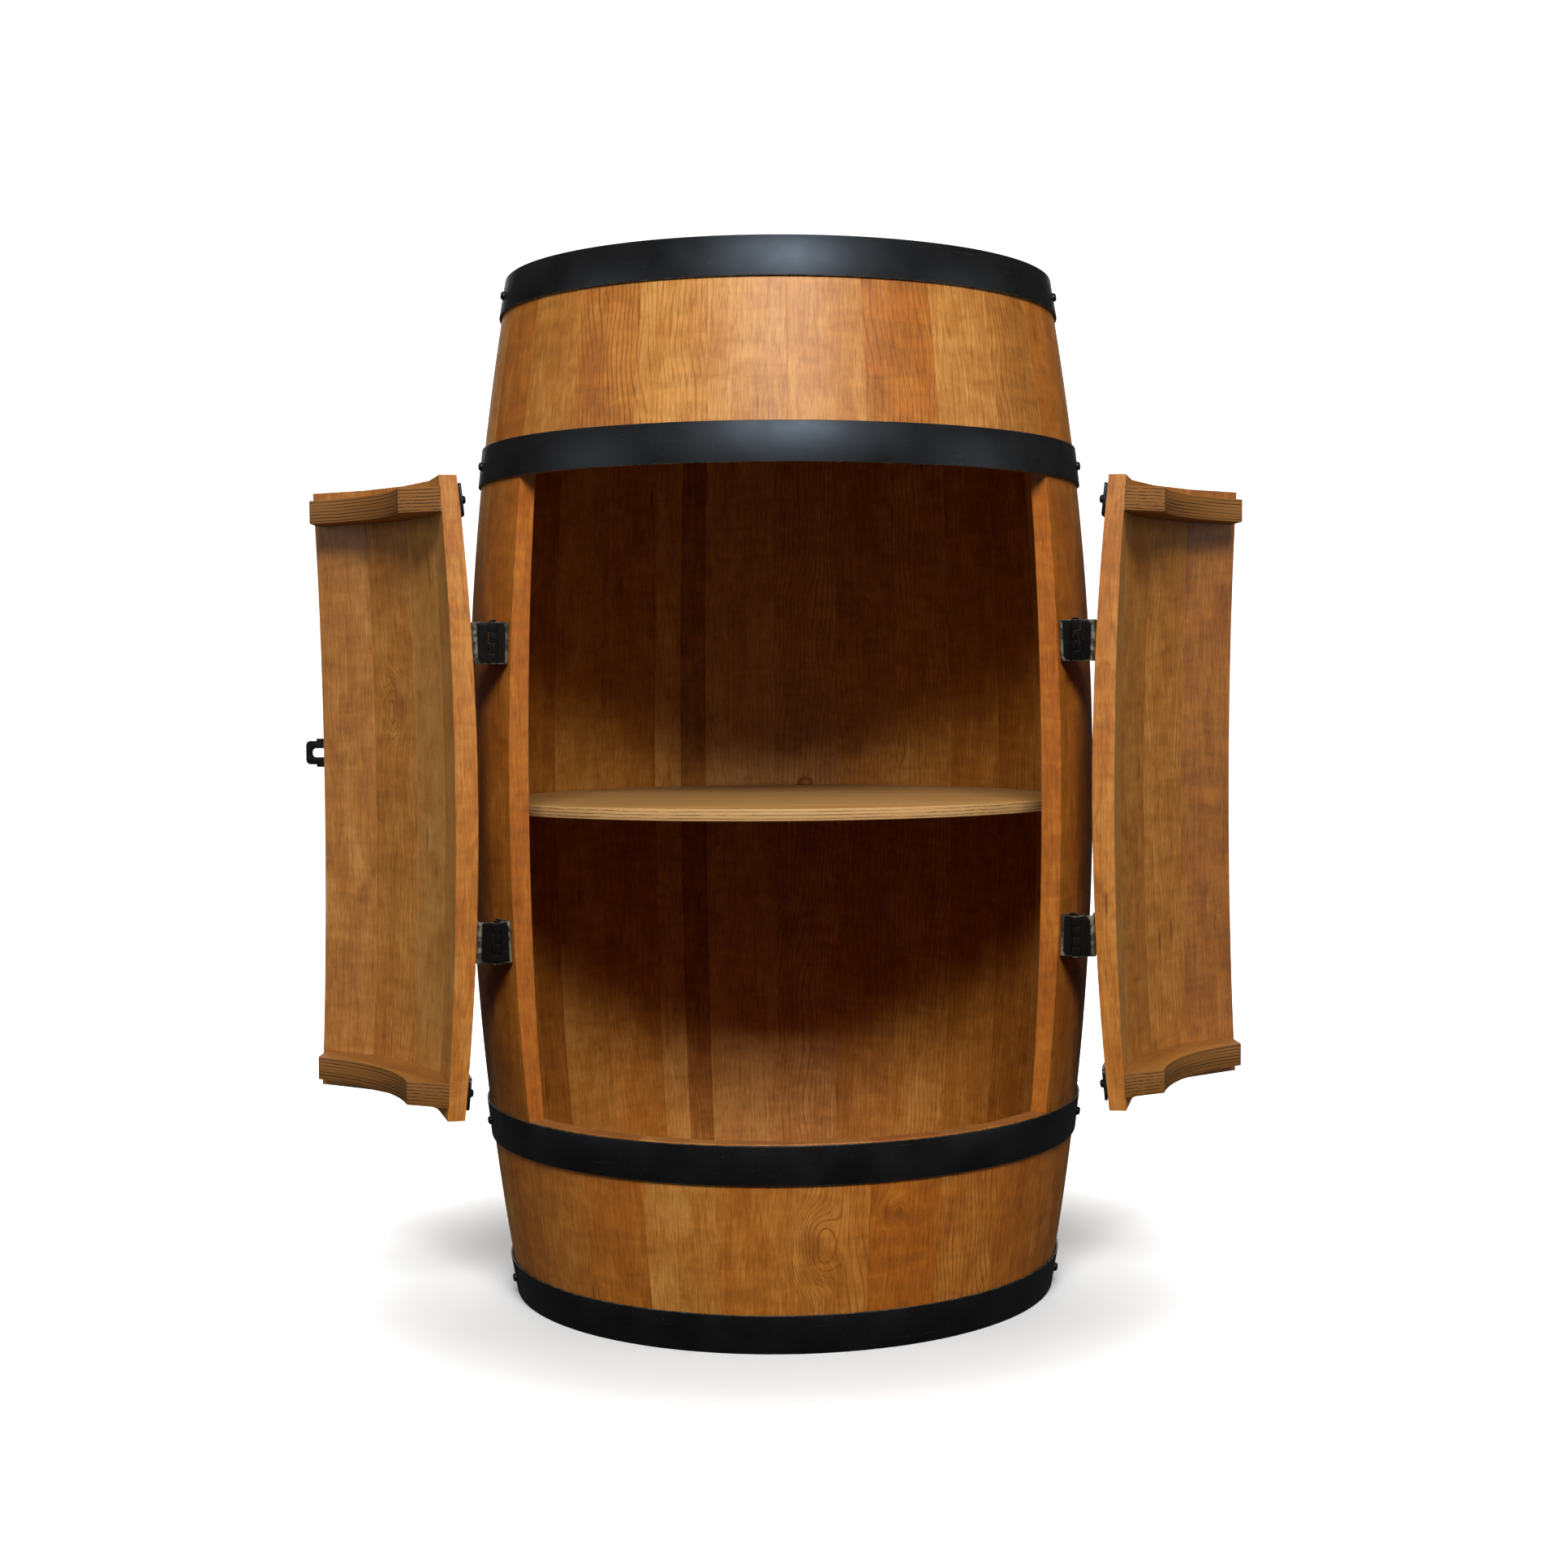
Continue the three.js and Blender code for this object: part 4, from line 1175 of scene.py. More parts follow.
def build_hinge_leaf(name, level, side, own, body, swing):
    """One leaf as a bent sheet: its flange on the wood, its riser, and its own knuckles curled."""
    height = HINGE_LEVELS[level]
    low, high = height - HINGE_HEIGHT / 2, height + HINGE_HEIGHT / 2
    low_radius, high_radius = outer_radius(low), outer_radius(high)
    step = HINGE_HEIGHT / KNUCKLE_COUNT
    gap = RUNNING_GAP / 2
    levels, spans = [], []
    for i in range(KNUCKLE_COUNT):
        top = high - i * step
        levels += [top - (gap if i else 0.0), top - step / 2, top - step + gap]
        spans += [i, i, None]
    levels[-1] = low
    spans = spans[:-1]
    line = leaf_line()
    points, wear_and_highlight_share = [], []
    # The bend is painted pale in chips, a painted highlight as well as wear; the top and bottom edges
    # show chipped paint
    for z in levels:
        skin = low_radius + (high_radius - low_radius) * (z - low) / HINGE_HEIGHT
        for across, outwards, part, wear_and_highlight in line:
            if part == "curl":
                points.append((side * across, -HINGE_AXIS_RADIUS - outwards, z))
            else:
                radius = skin + outwards / HINGE_REACH * (HINGE_AXIS_RADIUS - skin)
                turn = across / radius
                points.append((side * radius * math.sin(turn), -radius * math.cos(turn), z))
            wear_and_highlight_share.append(max(wear_and_highlight, 0.95 if z in (low, high) else 0.0))
    count = len(line)
    first_riser = next(i for i, p in enumerate(line) if p[2] == "riser")
    faces = []
    for row, span in enumerate(spans):
        for i in range(count - 1):
            if i + 1 >= first_riser and span not in own:
                continue
            a, b = row * count + i, row * count + i + 1
            face = (a, b, b + count, a + count)
            faces.append(face if side > 0 else face[::-1])
    made = from_faces(f"{name}_{level}_hinge_plate", points, faces)
    set_attribute(made.data, "wear_and_highlight", "FLOAT", "POINT", wear_and_highlight_share)
    mesh = bmesh.new()
    mesh.from_mesh(made.data)
    loose = [v for v in mesh.verts if not v.link_faces]
    bmesh.ops.delete(mesh, geom=loose, context="VERTS")
    mesh.to_mesh(made.data)
    mesh.free()
    thick = made.modifiers.new("sheet", "SOLIDIFY")
    thick.thickness = LEAF_THICKNESS
    thick.offset = 0.0
    eased_arrises(made, LEAF_ARRIS, 2, 50)
    moved(made, about_barrel(swing * DOOR_ANGLE))
    if body != "barrel":
        moved(made, door_swing(swing))
    dress(made, HINGE_PAINT, body, [f"{name}_{level}_hinge_leaf"], 40)


def turned(name, profile, sides=32):
    """A round piece turned about +Z from (radius, height) pairs running up its outside."""
    points, faces = [], []
    ring = [(r, z) for r, z in profile if r > 0]
    for r, z in ring:
        points += [
            (r * math.cos(2 * math.pi * i / sides), r * math.sin(2 * math.pi * i / sides), z)
            for i in range(sides)
        ]
    for row in range(len(ring) - 1):
        for i in range(sides):
            j = (i + 1) % sides
            a, b = row * sides, (row + 1) * sides
            faces.append((a + i, a + j, b + j, b + i))
    top = (len(ring) - 1) * sides
    if profile[0][0] == 0:
        faces.append(tuple(range(sides))[::-1])
        faces.append(tuple(range(top, top + sides)))
    else:
        faces += [(top + i, top + (i + 1) % sides, (i + 1) % sides, i) for i in range(sides)]
    return from_faces(name, points, faces)


def build_hinge_pin(name, level, side):
    low = HINGE_LEVELS[level] - HINGE_HEIGHT / 2
    rise, ease, rim = 0.0001, 0.0003, 0.0002
    high = HINGE_LEVELS[level] + HINGE_HEIGHT / 2 + rise
    crown = PIN_HEAD_HEIGHT - rise - ease
    profile = [(0, low), (PIN_RADIUS - ease, low), (PIN_RADIUS, low + ease), (PIN_RADIUS, high)]
    profile.append((PIN_HEAD_RADIUS - rim, high))
    profile += [
        (PIN_HEAD_RADIUS * math.cos(t) ** 0.6, high + ease + crown * math.sin(t))
        for t in [math.pi / 2 * i / 8 for i in range(8)]
    ]
    made = turned(f"{name}_{level}_pin_rod", profile)
    place = plan_point(HINGE_AXIS_RADIUS, side * DOOR_ANGLE)
    moved(made, Matrix.Translation((place.x + AXIS_X, place.y, 0)))
    dress(made, HINGE_PAINT, "barrel", [f"{name}_{level}_hinge_pin"], 40)


def build_hinges():
    """The knuckles are numbered from the top, and the two leaves own every other one."""
    for side, side_name in ((-1, "left"), (1, "right")):
        door = f"{side_name}_door"
        door_own, barrel_own = ((1, 3), (0, 2)) if side > 0 else ((0, 2), (1, 3))
        for level in HINGE_LEVELS:
            build_hinge_leaf(f"barrel_{side_name}", level, side, barrel_own, "barrel", side)
            build_hinge_leaf(door, level, -side, door_own, door, side)
            build_hinge_pin(side_name, level, side)


build_hinges()


# Plywood
def slab(name, outlines, levels, ease):
    """An upright slab between two heights from its outline at each, with its arrises eased.

    The outlines run counter-clockwise seen from above and have as many points as each other.
    """
    low, high = levels
    mesh = bmesh.new()
    rows = []
    for outline, z in zip(outlines, (low, high)):
        rows.append([mesh.verts.new((x, y, z)) for x, y in outline])
    count = len(rows[0])
    mesh.faces.new(rows[0][::-1])
    mesh.faces.new(rows[1])
    for i in range(count):
        j = (i + 1) % count
        mesh.faces.new((rows[0][i], rows[0][j], rows[1][j], rows[1][i]))
    data = bpy.data.meshes.new(name)
    mesh.to_mesh(data)
    mesh.free()
    return eased_arrises(new_object(name, data), ease, 2, 40)


def ply_attributes(made, grain_of):
    """The ply's own directions: through it, across its face grain and along it."""
    mesh = made.data
    set_attribute(mesh, "grain", "FLOAT_VECTOR", "POINT", [grain_of(v.co) for v in mesh.vertices])
    kinds = [(0.0 if abs(p.normal.z) > 0.7 else 1.0, 0.0, 0.0) for p in mesh.polygons]
    set_attribute(mesh, "face", "FLOAT_VECTOR", "FACE", kinds)


def batten_outline(side, z, middle_z):
    """Outside it follows the flat-sided wall; inside it is scalloped, with a straight land."""
    wall = (inner_radius(z) - FIT_GAP) / math.cos(STAVE_ANGLE / 2)
    middle_wall = (inner_radius(middle_z) - FIT_GAP) / math.cos(STAVE_ANGLE / 2)
    scallop = inner_radius(middle_z) - BATTEN_STRIP
    land = plan_point(middle_wall, DOOR_ANGLE, -HINGE_SIDE_GAP).y
    corner = plan_point(wall, DOOR_ANGLE, -HINGE_SIDE_GAP)
    land_end = math.acos(-land / scallop)
    free_end = math.asin((BATTEN_END_INSET + BATTEN_END_SLANT) / scallop)
    scalloped = [plan_point(scallop, free_end + (land_end - free_end) * i / 48) for i in range(49)]
    land_corner = Vector((corner.x - (land - corner.y) * math.tan(DOOR_ANGLE), land))
    joints = [plan_point(wall, i * STAVE_ANGLE) for i in range(DOOR_STAVES - 1, 0, -1)]
    first = joints[-1]
    share = BATTEN_END_INSET / first.x
    start = Vector((BATTEN_END_INSET, -wall + (first.y + wall) * share))
    outline = [*scalloped, land_corner, corner, *joints, start]
    if side > 0:
        return [(p.x, p.y) for p in outline][::-1]
    return [(-p.x, p.y) for p in outline]


def build_batten(name, level, side):
    low = BATTEN_BOTTOMS[level]
    high = low + BATTEN_THICKNESS
    middle_z = (low + high) / 2
    outlines = [batten_outline(side, z, middle_z) for z in (low, high)]
    made = slab(f"{name}_{level}_batten_ply", outlines, (low, high), BATTEN_ARRIS)
    seed = 0.31 * (side + 2) + (0.17 if level == "upper" else 0.0)

    def grain_of(point):
        azimuth = math.atan2(point.x, -point.y)
        radius = math.hypot(point.x, point.y)
        return (point.z - middle_z, radius + seed, azimuth * 0.22 + 3 * seed)

    ply_attributes(made, grain_of)
    moved(made, about_barrel(0))
    moved(made, door_swing(side))
    dress(made, BATTEN_PLY, name, [f"{name}_{level}_batten"])


def build_shelf():
    """Its back follows the staves, and its front edge is a flatter arc that meets them."""
    low = SHELF_TOP - SHELF_THICKNESS
    back = inner_radius(low) - SHELF_CLEARANCE
    centre = SHELF_FRONT_RADIUS - SHELF_FRONT_REACH
    meet_y = (back**2 - SHELF_FRONT_RADIUS**2 + centre**2) / (2 * centre)
    meet_x = math.sqrt(back**2 - meet_y**2)
    start = math.atan2(meet_y, meet_x)
    first = math.atan2(meet_y - centre, -meet_x) % (2 * math.pi)
    last = math.atan2(meet_y - centre, meet_x) % (2 * math.pi)
    outline = arc(0, 0, back, start, math.pi - start, 96)
    outline += arc(0, centre, SHELF_FRONT_RADIUS, first, last, 64)[1:-1]
    made = slab("shelf_board", [outline, outline], (low, SHELF_TOP), SHELF_ARRIS)
    middle_z = (low + SHELF_TOP) / 2
    ply_attributes(made, lambda point: (point.z - middle_z, point.y, point.x))
    moved(made, about_barrel(0))
    dress(made, SHELF_PLY, "barrel", ["shelf"])


def build_shelf_button():
    """A small turned button on the shelf, against the back, that keeps it from sliding."""
    ease = 0.0004
    foot, shoulder, rise = SHELF_TOP + 0.0001, SHELF_TOP + 2 * ease, BUTTON_HEIGHT - 2 * ease
    profile = [(0, foot), (BUTTON_RADIUS - ease, foot)]
    profile += [
        (BUTTON_RADIUS * math.cos(t) ** 0.8, shoulder + rise * math.sin(t))
        for t in [math.pi / 2 * i / 8 for i in range(8)]
    ]
    made = turned("shelf_button", profile, 40)
    place = plan_point(inner_radius(SHELF_TOP) - BUTTON_RADIUS - 0.0002, BUTTON_AZIMUTH)
    moved(made, Matrix.Translation((place.x + AXIS_X, place.y, 0)))
    mesh = made.data
    set_attribute(mesh, "grain", "FLOAT_VECTOR", "POINT", [v.co[:] for v in mesh.vertices])
    set_attribute(mesh, "board", "FLOAT_VECTOR", "FACE", [(-0.2, 0.1, 0.1)] * len(mesh.polygons))
    dress(made, BEECH, "barrel", [])


for door, door_side in DOORS.items():
    for batten_level in BATTEN_BOTTOMS:
        build_batten(door, batten_level, door_side)
build_shelf()
build_shelf_button()


# Heads: boards glued edge to edge and turned round, with a tongue in the croze
def build_head(name, low, seed, turn):
    centre = low + HEAD_THICKNESS / 2
    rim = inner_radius(centre) + CROZE_DEPTH - FIT_GAP
    neck = rim - HEAD_TONGUE
    shoulder = neck - HEAD_BEVEL
    half = HEAD_TONGUE_THICKNESS / 2
    profile = [
        (0, low),
        (shoulder, low),
        (neck, centre - half),
        (rim, centre - half),
        (rim, centre + half),
        (neck, centre + half),
        (shoulder, low + HEAD_THICKNESS),
    ]
    disc = turned(f"{name}_disc", profile, 130)
    width = 2 * rim / HEAD_BOARDS
    rng = random.Random(seed)
    whole = bmesh.new()
    grain = whole.verts.layers.float_vector.new("grain")
    board_layer = whole.verts.layers.float_vector.new("board")
    for i in range(HEAD_BOARDS):
        part = bmesh.new()
        part.from_mesh(disc.data)
        for x, facing in ((-rim + i * width, -1), (-rim + (i + 1) * width, 1)):
            cut = bmesh.ops.bisect_plane(
                part,
                geom=part.verts[:] + part.edges[:] + part.faces[:],
                plane_co=(x, 0, 0),
                plane_no=(facing, 0, 0),
                clear_outer=True,
            )
            edges = [e for e in cut["geom_cut"] if isinstance(e, bmesh.types.BMEdge)]
            if edges:
                bmesh.ops.contextual_create(part, geom=edges)
        shift = rng.uniform(0, 7)
        look = (rng.uniform(-0.1, 0.08), rng.uniform(0.0, 0.2), rng.random())
        copies = {}
        for v in part.verts:
            copy = whole.verts.new(v.co)
            copy[grain] = (v.co.x + shift, v.co.z - low, v.co.y + shift)
            copy[board_layer] = look
            copies[v] = copy
        for f in part.faces:
            whole.faces.new([copies[v] for v in f.verts])
        part.free()
    mesh = bpy.data.meshes.new(f"{name}_boards")
    whole.to_mesh(mesh)
    whole.free()
    made = new_object(f"{name}_boards", mesh)
    bpy.data.objects.remove(disc)
    kinds = [(0.0, 0.0, 0.0)] * len(mesh.polygons)
    set_attribute(mesh, "face", "FLOAT_VECTOR", "FACE", kinds)
    moved(made, about_barrel(math.radians(turn)))
    dress(made, BEECH, "barrel", [name], 20)


build_head("top_head", HEIGHT - HEAD_RECESS - HEAD_THICKNESS, 3, 12)
build_head("bottom_head", HEAD_RECESS, 8, -8)


# Cleats under the shelf
def build_cleats():
    for number in range(1, 5):
        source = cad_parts[f"shelf_cleat_{number}"]
        mesh = bmesh.new()
        mesh.from_mesh(source.data)
        mesh.transform(source.matrix_world)
        bmesh.ops.remove_doubles(mesh, verts=mesh.verts, dist=0.00001)
        bmesh.ops.dissolve_limit(mesh, angle_limit=math.radians(2), verts=mesh.verts, edges=mesh.edges)
        data = bpy.data.meshes.new(f"cleat_{number}_block")
        mesh.to_mesh(data)
        mesh.free()
        made = new_object(f"cleat_{number}_block", data)
        eased_arrises(made, CLEAT_ARRIS, 3, 40)
        dress(made, PINE, "barrel", [f"shelf_cleat_{number}"])


build_cleats()


# Hasp and staple
HASP_AXIS_Y = -(
    math.sqrt(outer_radius(HASP_HEIGHT) ** 2 - HASP_PIN_REACH**2) + HASP_KNUCKLE_RADIUS + FIT_GAP
)


def hasp_knuckle(index):
    """One of the hasp's three knuckles, bored for the pin."""
    high = HASP_HEIGHT + HASP_ROOT / 2 - index * HASP_STEP - RUNNING_GAP / 2
    low = high - HASP_STEP + RUNNING_GAP
    bore = HASP_PIN_RADIUS + RUNNING_GAP
    ease = 0.00025
    profile = [
        (bore, low),
        (HASP_KNUCKLE_RADIUS - ease, low),
        (HASP_KNUCKLE_RADIUS, low + ease),
        (HASP_KNUCKLE_RADIUS, high - ease),
        (HASP_KNUCKLE_RADIUS - ease, high),
        (bore, high),
    ]
    made = turned(f"hasp_knuckle_{index}", profile, HASP_SIDES)
    return moved(made, Matrix.Translation((-HASP_PIN_REACH, HASP_AXIS_Y, 0)))


def cut_or_joined(made, other, operation):
    modifier = made.modifiers.new(operation.lower(), "BOOLEAN")
    modifier.operation = operation
    modifier.object = other
    modifier.solver = "EXACT"
    applied(made)
    bpy.data.objects.remove(other)
    return made


def hasp_rod(name, radius, low, high):
    """A plain round rod on the hasp pin's axis, to cut with."""
    made = turned(name, [(0, low), (radius, low), (radius, high)], HASP_SIDES)
    return moved(made, Matrix.Translation((-HASP_PIN_REACH, HASP_AXIS_Y, 0)))


def hasp_outline():
    """The flap's outline and slot, seen from the front."""
    root, tip = HASP_ROOT / 2, HASP_TIP / 2
    x, z = HASP_TIP_REACH - HASP_CORNER, tip - HASP_CORNER
    quarter = math.pi / 2
    line = [(-HASP_PIN_REACH, -root), (HASP_SHOULDER_REACH, -root), (HASP_SHOULDER_REACH, -tip)]
    line += arc(x, -z, HASP_CORNER, -quarter, 0.0, 8) + arc(x, z, HASP_CORNER, 0.0, quarter, 8)
    line += [(HASP_SHOULDER_REACH, tip), (HASP_SHOULDER_REACH, root), (-HASP_PIN_REACH, root)]
    end = SLOT_HEIGHT / 2
    slot = arc(SLOT_END - end, 0.0, end, -quarter, quarter, 14)
    slot += arc(SLOT_START + end, 0.0, end, quarter, 3 * quarter, 14)
    return line, slot


def from_curve(name, curve, lines, closed):
    """The solid of a curve drawn through lines of points, welded, its faces outwards."""
    for line in lines:
        spline = curve.splines.new("POLY")
        spline.points.add(len(line) - 1)
        for point, place in zip(spline.points, line):
            point.co = (*place, 1)
        spline.use_cyclic_u = closed
    drawn = new_object(f"{name}_curve", curve)
    bpy.context.view_layer.update()
    depsgraph = bpy.context.evaluated_depsgraph_get()
    mesh = bpy.data.meshes.new_from_object(drawn.evaluated_get(depsgraph), depsgraph=depsgraph)
    bpy.data.objects.remove(drawn)
    welded = bmesh.new()
    welded.from_mesh(mesh)
    bmesh.ops.remove_doubles(welded, verts=welded.verts, dist=0.000001)
    bmesh.ops.recalc_face_normals(welded, faces=welded.faces)
    welded.to_mesh(mesh)
    welded.free()
    return new_object(name, mesh)


def build_hasp():
    curve = bpy.data.curves.new("hasp_flap_plate", "CURVE")
    curve.dimensions = "2D"
    curve.fill_mode = "BOTH"
    curve.extrude = HASP_THICKNESS / 2 - HASP_EASE
    curve.bevel_depth = HASP_EASE
    curve.bevel_resolution = 1
    curve.offset = -HASP_EASE
    lines = [[(x, z, 0) for x, z in line] for line in hasp_outline()]
    made = from_curve("hasp_flap_plate", curve, lines, True)
    moved(made, Matrix.Rotation(math.pi / 2, 4, "X"))
    moved(made, Matrix.Translation((0, HASP_AXIS_Y, HASP_HEIGHT)))
    # Room for the plate's two knuckles, then the flap's own knuckle and the pin's bore
    bottom, top = HASP_HEIGHT - HASP_ROOT / 2, HASP_HEIGHT + HASP_ROOT / 2
    room = HASP_STEP + RUNNING_GAP / 2
    clearance = HASP_KNUCKLE_RADIUS + RUNNING_GAP
    for low, high in ((top - room, top + HASP_OVERCUT), (bottom - HASP_OVERCUT, bottom + room)):
        cut_or_joined(made, hasp_rod("hasp_room", clearance, low, high), "DIFFERENCE")
    cut_or_joined(made, hasp_knuckle(1), "UNION")
    half = HASP_STEP / 2 + HASP_OVERCUT / 2
    bore = hasp_rod("hasp_bore", HASP_PIN_RADIUS + RUNNING_GAP, HASP_HEIGHT - half, HASP_HEIGHT + half)
    cut_or_joined(made, bore, "DIFFERENCE")
    moved(made, about_barrel(0))
    moved(made, door_swing(-1))
    dress(made, HINGE_PAINT, "hasp", ["hasp_flap"], 30)


def build_hasp_plate():
    low, high = HASP_HEIGHT - HASP_ROOT / 2, HASP_HEIGHT + HASP_ROOT / 2
    radius = outer_radius(HASP_HEIGHT)
    clear = HASP_PIN_REACH + HASP_KNUCKLE_RADIUS + RUNNING_GAP
    start, end = [-math.asin(reach / radius) * radius for reach in (HASP_PLATE_REACH, clear)]
    stations = square_end(start, 1, low, high, 0.003, HASP_EASE)
    stations += [(start + (end - start) * i / 12, low, high, 0.0) for i in range(2, 12)]
    stations += [(end, low, high, 0.0)]
    made = strip_blank("hasp_plate_strip", stations, HASP_THICKNESS, HASP_EASE)
    bent_round(made, low, high, 0.0, HINGE_PAINT)
    outside = -HASP_PIN_REACH - HASP_KNUCKLE_RADIUS - NECK_LAP
    beside_pin = -HASP_PIN_REACH - HASP_PIN_RADIUS - NECK_CLEARANCE
    depths = [HASP_AXIS_Y + depth for depth in NECK_DEPTHS]
    for index in (0, 2):
        top = high - index * HASP_STEP - RUNNING_GAP / 2
        neck = from_box("hasp_neck", (outside, beside_pin), depths, (top - HASP_STEP + RUNNING_GAP, top))
        for piece in (neck, hasp_knuckle(index)):
            moved(piece, about_barrel(0))
            cut_or_joined(made, piece, "UNION")
    moved(made, door_swing(-1))
    dress(made, HINGE_PAINT, "left_door", ["hasp_plate"], 30)


def build_hasp_pin():
    low = HASP_HEIGHT - HASP_ROOT / 2
    high = HASP_HEIGHT + HASP_ROOT / 2 - RUNNING_GAP / 2
    radius, ease = HASP_PIN_RADIUS, HASP_EASE
    side = [(radius - ease, low), (radius, low + ease), (radius, high - ease), (radius - ease, high)]
    made = turned("hasp_pin_rod", [(0, low), *side])
    moved(made, Matrix.Translation((AXIS_X - HASP_PIN_REACH, HASP_AXIS_Y, 0)))
    moved(made, door_swing(-1))
    dress(made, HINGE_PAINT, "left_door", ["hasp_pin"], 40)


def build_staple():
    centre = (SLOT_START + SLOT_END) / 2
    face = -math.sqrt(outer_radius(HASP_HEIGHT) ** 2 - centre**2)
    bend = STAPLE_SPREAD / 2
    bend_y = face - STAPLE_REACH + bend + STAPLE_WIRE_RADIUS
    foot = face + STAPLE_DEPTH
    crown = arc(centre, bend_y, bend, math.pi, 2 * math.pi, 16)
    route = [(centre - bend, foot), *crown, (centre + bend, foot)]
    curve = bpy.data.curves.new("staple_wire", "CURVE")
    curve.dimensions = "3D"
    curve.bevel_depth = STAPLE_WIRE_RADIUS
    curve.bevel_resolution = 6
    curve.use_fill_caps = True
    made = from_curve("staple_wire", curve, [[(x, y, HASP_HEIGHT) for x, y in route]], False)
    moved(made, about_barrel(0))
    moved(made, door_swing(1))
    dress(made, HINGE_PAINT, "right_door", ["staple"], 50)


build_hasp()
build_hasp_plate()
build_hasp_pin()
build_staple()


# Screws
def screw_tree():
    """Puts a screw head on each point, its top along the point's facing, its cross turned at random."""
    tree, given = geometry_tree(
        "cross-head screws",
        {
            "Head Radius": "NodeSocketFloat",
            "Head Height": "NodeSocketFloat",
            "Cross Width": "NodeSocketFloat",
            "Seed": "NodeSocketInt",
            "Finish": "NodeSocketMaterial",
        },
    )
    ball = add(tree, "GeometryNodeMeshUVSphere", {"Segments": 24, "Rings": 14, "Radius": 1.0})
    where = add(tree, "ShaderNodeSeparateXYZ", add(tree, "GeometryNodeInputPosition"))
    x, y, z = where.node.outputs
    plan = add(tree, "ShaderNodeCombineXYZ", x, y)
    flat = add(tree, "ShaderNodeVectorMath", plan, operation="LENGTH", out="Value")
    # The ball is squared up into a pan head: its sides stand steeper and its crown is flatter
    off_axis = add(tree, "ShaderNodeMath", flat, 0.001, operation="MAXIMUM")
    swell = add(tree, "ShaderNodeMath", off_axis, -0.45, operation="POWER")
    spread = add(tree, "ShaderNodeMath", swell, given["Head Radius"], operation="MULTIPLY")
    above = add(tree, "ShaderNodeMath", z, -0.12, operation="MAXIMUM")
    crown = add(tree, "ShaderNodeMath", above, given["Head Height"], operation="MULTIPLY")
    wide_x = add(tree, "ShaderNodeMath", x, spread, operation="MULTIPLY")
    wide_y = add(tree, "ShaderNodeMath", y, spread, operation="MULTIPLY")
    shaped = add(tree, "ShaderNodeCombineXYZ", wide_x, wide_y, crown)
    head = add(tree, "GeometryNodeSetPosition", {"Geometry": ball, "Position": shaped})
    long = add(tree, "ShaderNodeMath", given["Head Radius"], 1.15, operation="MULTIPLY")
    lift = add(tree, "ShaderNodeCombineXYZ", None, None, given["Head Height"])
    cut = add(tree, "GeometryNodeMeshBoolean", {"Mesh 1": head}, operation="DIFFERENCE", solver="EXACT")
    for size in ((long, given["Cross Width"]), (given["Cross Width"], long)):
        extent = add(tree, "ShaderNodeCombineXYZ", *size, given["Head Height"])
        bar = add(tree, "GeometryNodeMeshCube", {"Size": extent})
        raised = add(tree, "GeometryNodeTransform", {"Geometry": bar, "Translation": lift})
        tree.links.new(raised, cut.node.inputs["Mesh 2"])
    facing = add(tree, "GeometryNodeInputNamedAttribute", "facing", data_type="FLOAT_VECTOR")
    aimed = add(tree, "FunctionNodeAlignRotationToVector", {"Vector": facing}, axis="Z")
    spin = add(
        tree,
        "FunctionNodeRandomValue",
        {"Max": math.pi / 2, "Seed": given["Seed"]},
        data_type="FLOAT",
        out=1,
    )
    turn = add(tree, "ShaderNodeCombineXYZ", None, None, spin)
    turned_head = add(
        tree, "FunctionNodeRotateRotation", {"Rotation": aimed, "Rotate By": turn}, rotation_space="LOCAL"
    )
    placed = add(
        tree,
        "GeometryNodeInstanceOnPoints",
        {"Points": given["Geometry"], "Instance": cut, "Rotation": turned_head},
    )
    real = add(tree, "GeometryNodeRealizeInstances", placed)
    painted = add(tree, "GeometryNodeSetMaterial", {"Geometry": real, "Material": given["Finish"]})
    add(tree, "NodeGroupOutput", painted)
    return tree


SCREWS = screw_tree()


def build_screws(name, places, body, size, side=0):
    """Screw heads at (azimuth, height, distance from the axis) places, square to the wall."""
    points, facings = [], []
    for azimuth, z, reach in places:
        spot, outwards = plan_point(reach, azimuth), plan_point(1.0, azimuth)
        points.append((spot.x + AXIS_X, spot.y, z))
        facings.append((outwards.x, outwards.y, (z - MIDDLE) / ARC_RADIUS))
    made = from_faces(name, points, [])
    set_attribute(made.data, "facing", "FLOAT_VECTOR", "POINT", facings)
    radius, rise = size
    sizes = {"Head Radius": radius, "Head Height": rise, "Cross Width": radius * SCREW_CROSS_SHARE}
    with_tree(made, SCREWS, {**sizes, "Seed": 5, "Finish": SCREW_BLACK})
    if side:
        moved(made, door_swing(side))
    dress(made, SCREW_BLACK, body, [], 40)


def screw_place(azimuth, z, thickness):
    """A place on the barrel's wall, over a piece of that thickness."""
    return azimuth, z, outer_radius(z) + FIT_GAP + thickness


def flange_places(side, direction):
    """Two screws in each hinge leaf's flange, on that side of the hinge's plane."""
    azimuth = side * DOOR_ANGLE + direction * (FLANGE_SCREW_REACH / BILGE_RADIUS)
    return [
        screw_place(azimuth, z + rise, LEAF_THICKNESS)
        for z in HINGE_LEVELS.values()
        for rise in (-FLANGE_SCREW_RISE, FLANGE_SCREW_RISE)
    ]


def band_places(side):
    """A screw at each end of a door's two bands."""
    near, far = [inset / BILGE_RADIUS for inset in BAND_SCREW_INSETS]
    return [
        screw_place(side * azimuth, low + BATTEN_THICKNESS / 2, BAND_THICKNESS)
        for low in BATTEN_BOTTOMS.values()
        for azimuth in (near, DOOR_ANGLE - far)
    ]


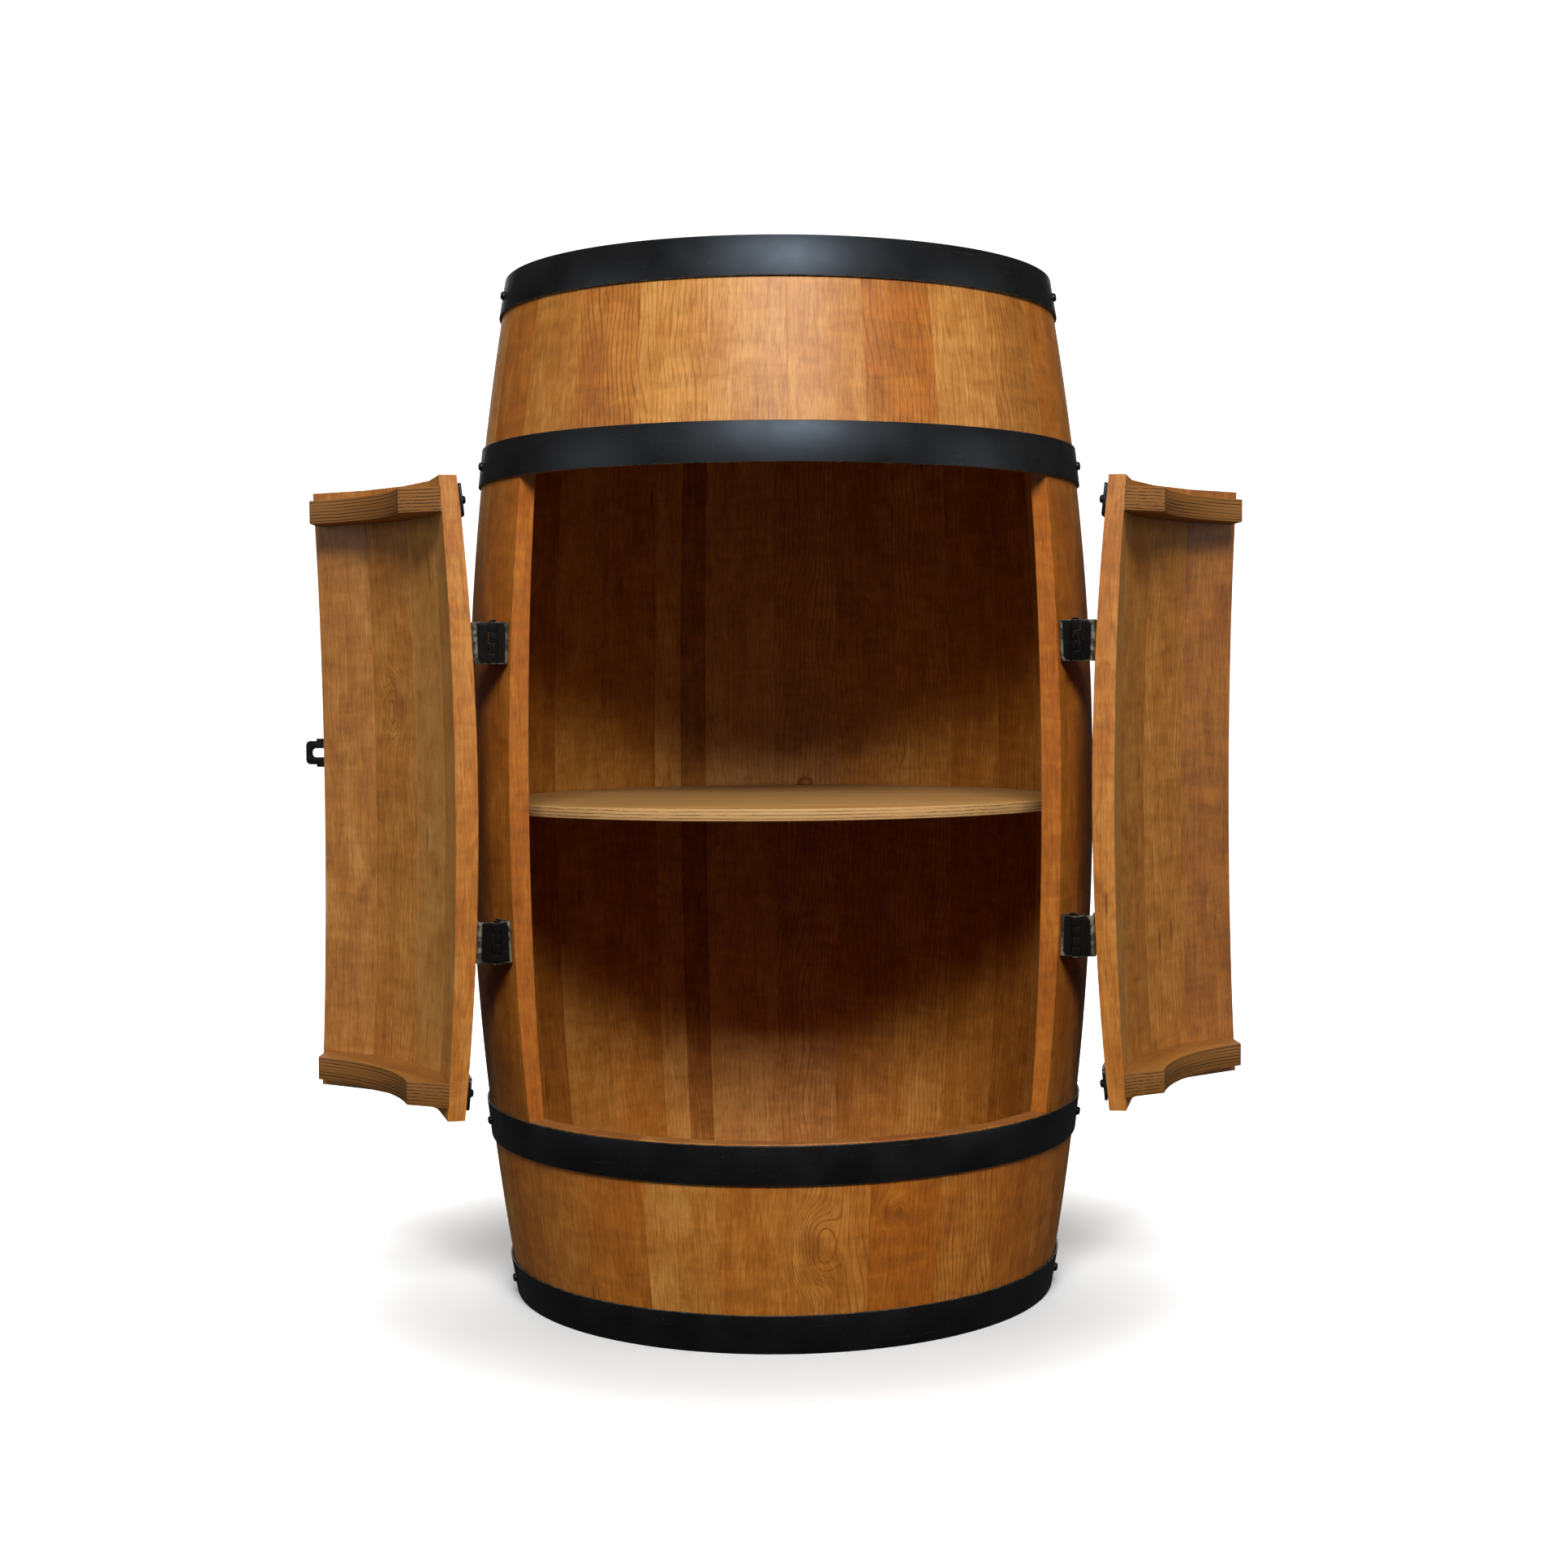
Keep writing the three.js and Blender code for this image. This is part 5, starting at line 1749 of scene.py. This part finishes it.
def build_all_screws():
    hoop_places = [
        screw_place(side * HOOP_SCREW_AZIMUTH, low + HOOP_HEIGHT / 2, HOOP_THICKNESS)
        for low in HOOP_BOTTOMS.values()
        for side in (-1, 1)
    ]
    build_screws("hoop_screws", hoop_places, "barrel", HOOP_SCREW)
    flanges = flange_places(-1, -1) + flange_places(1, 1)
    build_screws("barrel_hinge_screws", flanges, "barrel", HINGE_SCREW)
    for door, side in DOORS.items():
        flanges = flange_places(side, -side)
        build_screws(f"{door}_band_screws", band_places(side), door, BAND_SCREW, side)
        build_screws(f"{door}_hinge_screws", flanges, door, HINGE_SCREW, side)
    azimuth = -math.asin(HASP_SCREW_REACH / BILGE_RADIUS)
    reach = outer_radius(HASP_HEIGHT) + FIT_GAP + HASP_THICKNESS
    hasp_places = [(azimuth, HASP_HEIGHT + rise, reach) for rise in (-HASP_SCREW_RISE, HASP_SCREW_RISE)]
    build_screws("hasp_plate_screws", hasp_places, "left_door", HASP_SCREW, -1)


build_all_screws()


# Studio
def softbox(name, place, target, size, power):
    lamp = bpy.data.lights.new(name, "AREA")
    lamp.shape = "RECTANGLE"
    lamp.size, lamp.size_y = size
    lamp.energy = power
    made = bpy.data.objects.new(name, lamp)
    made.location = place
    made.rotation_euler = (Vector(target) - Vector(place)).to_track_quat("-Z", "Y").to_euler()
    bpy.context.scene.collection.objects.link(made)


def studio():
    """A round of pale paper that sweeps up on all sides, a softbox over the camera and fills."""
    around, reach, sweep, wall_top = 96, 2.4, 1.1, 5.0
    profile = [(0.9, 0.0), (1.6, 0.0), (reach, 0.0)]
    profile += [
        (reach + sweep * math.sin(t), sweep - sweep * math.cos(t))
        for t in [math.pi / 2 * i / 12 for i in range(1, 13)]
    ]
    profile.append((reach + sweep, wall_top))
    points = [
        (r * math.sin(2 * math.pi * i / around), r * math.cos(2 * math.pi * i / around), z)
        for r, z in profile
        for i in range(around)
    ]
    faces = [tuple(range(around))[::-1]]
    for row in range(len(profile) - 1):
        for i in range(around):
            a, b = row * around + i, row * around + (i + 1) % around
            faces.append((a, a + around, b + around, b))
    floor = from_faces("studio_floor", points, faces)
    smooth(floor, 60)
    # Matt paper: plain where the cabinet stands, and glowing more with distance from it up to the
    # wall: painted light that whitens the paper and washes out the cabinet's cast shadows beyond
    # about half a metre.
    material, tree = new_material("matt_studio_paper")
    where = add(tree, "ShaderNodeTexCoord", out="Object")
    away = add(tree, "ShaderNodeVectorMath", where, operation="LENGTH", out="Value")
    glow = add(
        tree,
        "ShaderNodeMapRange",
        {"Value": away, "From Min": 0.26, "From Max": 0.56, "To Max": 0.98},
        interpolation_type="SMOOTHSTEP",
    )
    finish_material(
        tree,
        Base_Color=linear("F4F4F4"),
        Roughness=0.9,
        Specular_IOR_Level=0.1,
        Emission_Color=linear("FFFFFF"),
        Emission_Strength=glow,
    )
    floor.data.materials.append(material)
    # The paper throws no light back: the photograph's lower hoops are near black
    floor.visible_diffuse = False
    floor.visible_glossy = False
    softbox("front_softbox", (0.05, -2.1, 1.8), (0, 0, 0.42), (1.3, 0.56), 75)
    softbox("left_fill", (-2.6, -0.9, 0.8), (0, 0, 0.3), (1.0, 1.5), 11)
    softbox("right_fill", (2.6, -0.9, 0.8), (0, 0, 0.3), (1.0, 1.5), 11)
    softbox("overhead_softbox", (0.0, 0.9, 2.5), (0, 0.4, 0), (3.0, 1.8), 28)
    softbox("rear_fill", (0.0, 2.4, 1.5), (0, 0, 0.4), (2.2, 1.4), 26)
    world = bpy.data.worlds.new("studio")
    world.use_nodes = True
    world.node_tree.nodes.clear()
    sky = add(world.node_tree, "ShaderNodeBackground", {"Color": (1.0, 1.0, 1.0, 1.0), "Strength": 0.05})
    add(world.node_tree, "ShaderNodeOutputWorld", {"Surface": sky})
    bpy.context.scene.world = world
    bpy.context.scene.view_settings.view_transform = "Standard"


studio()
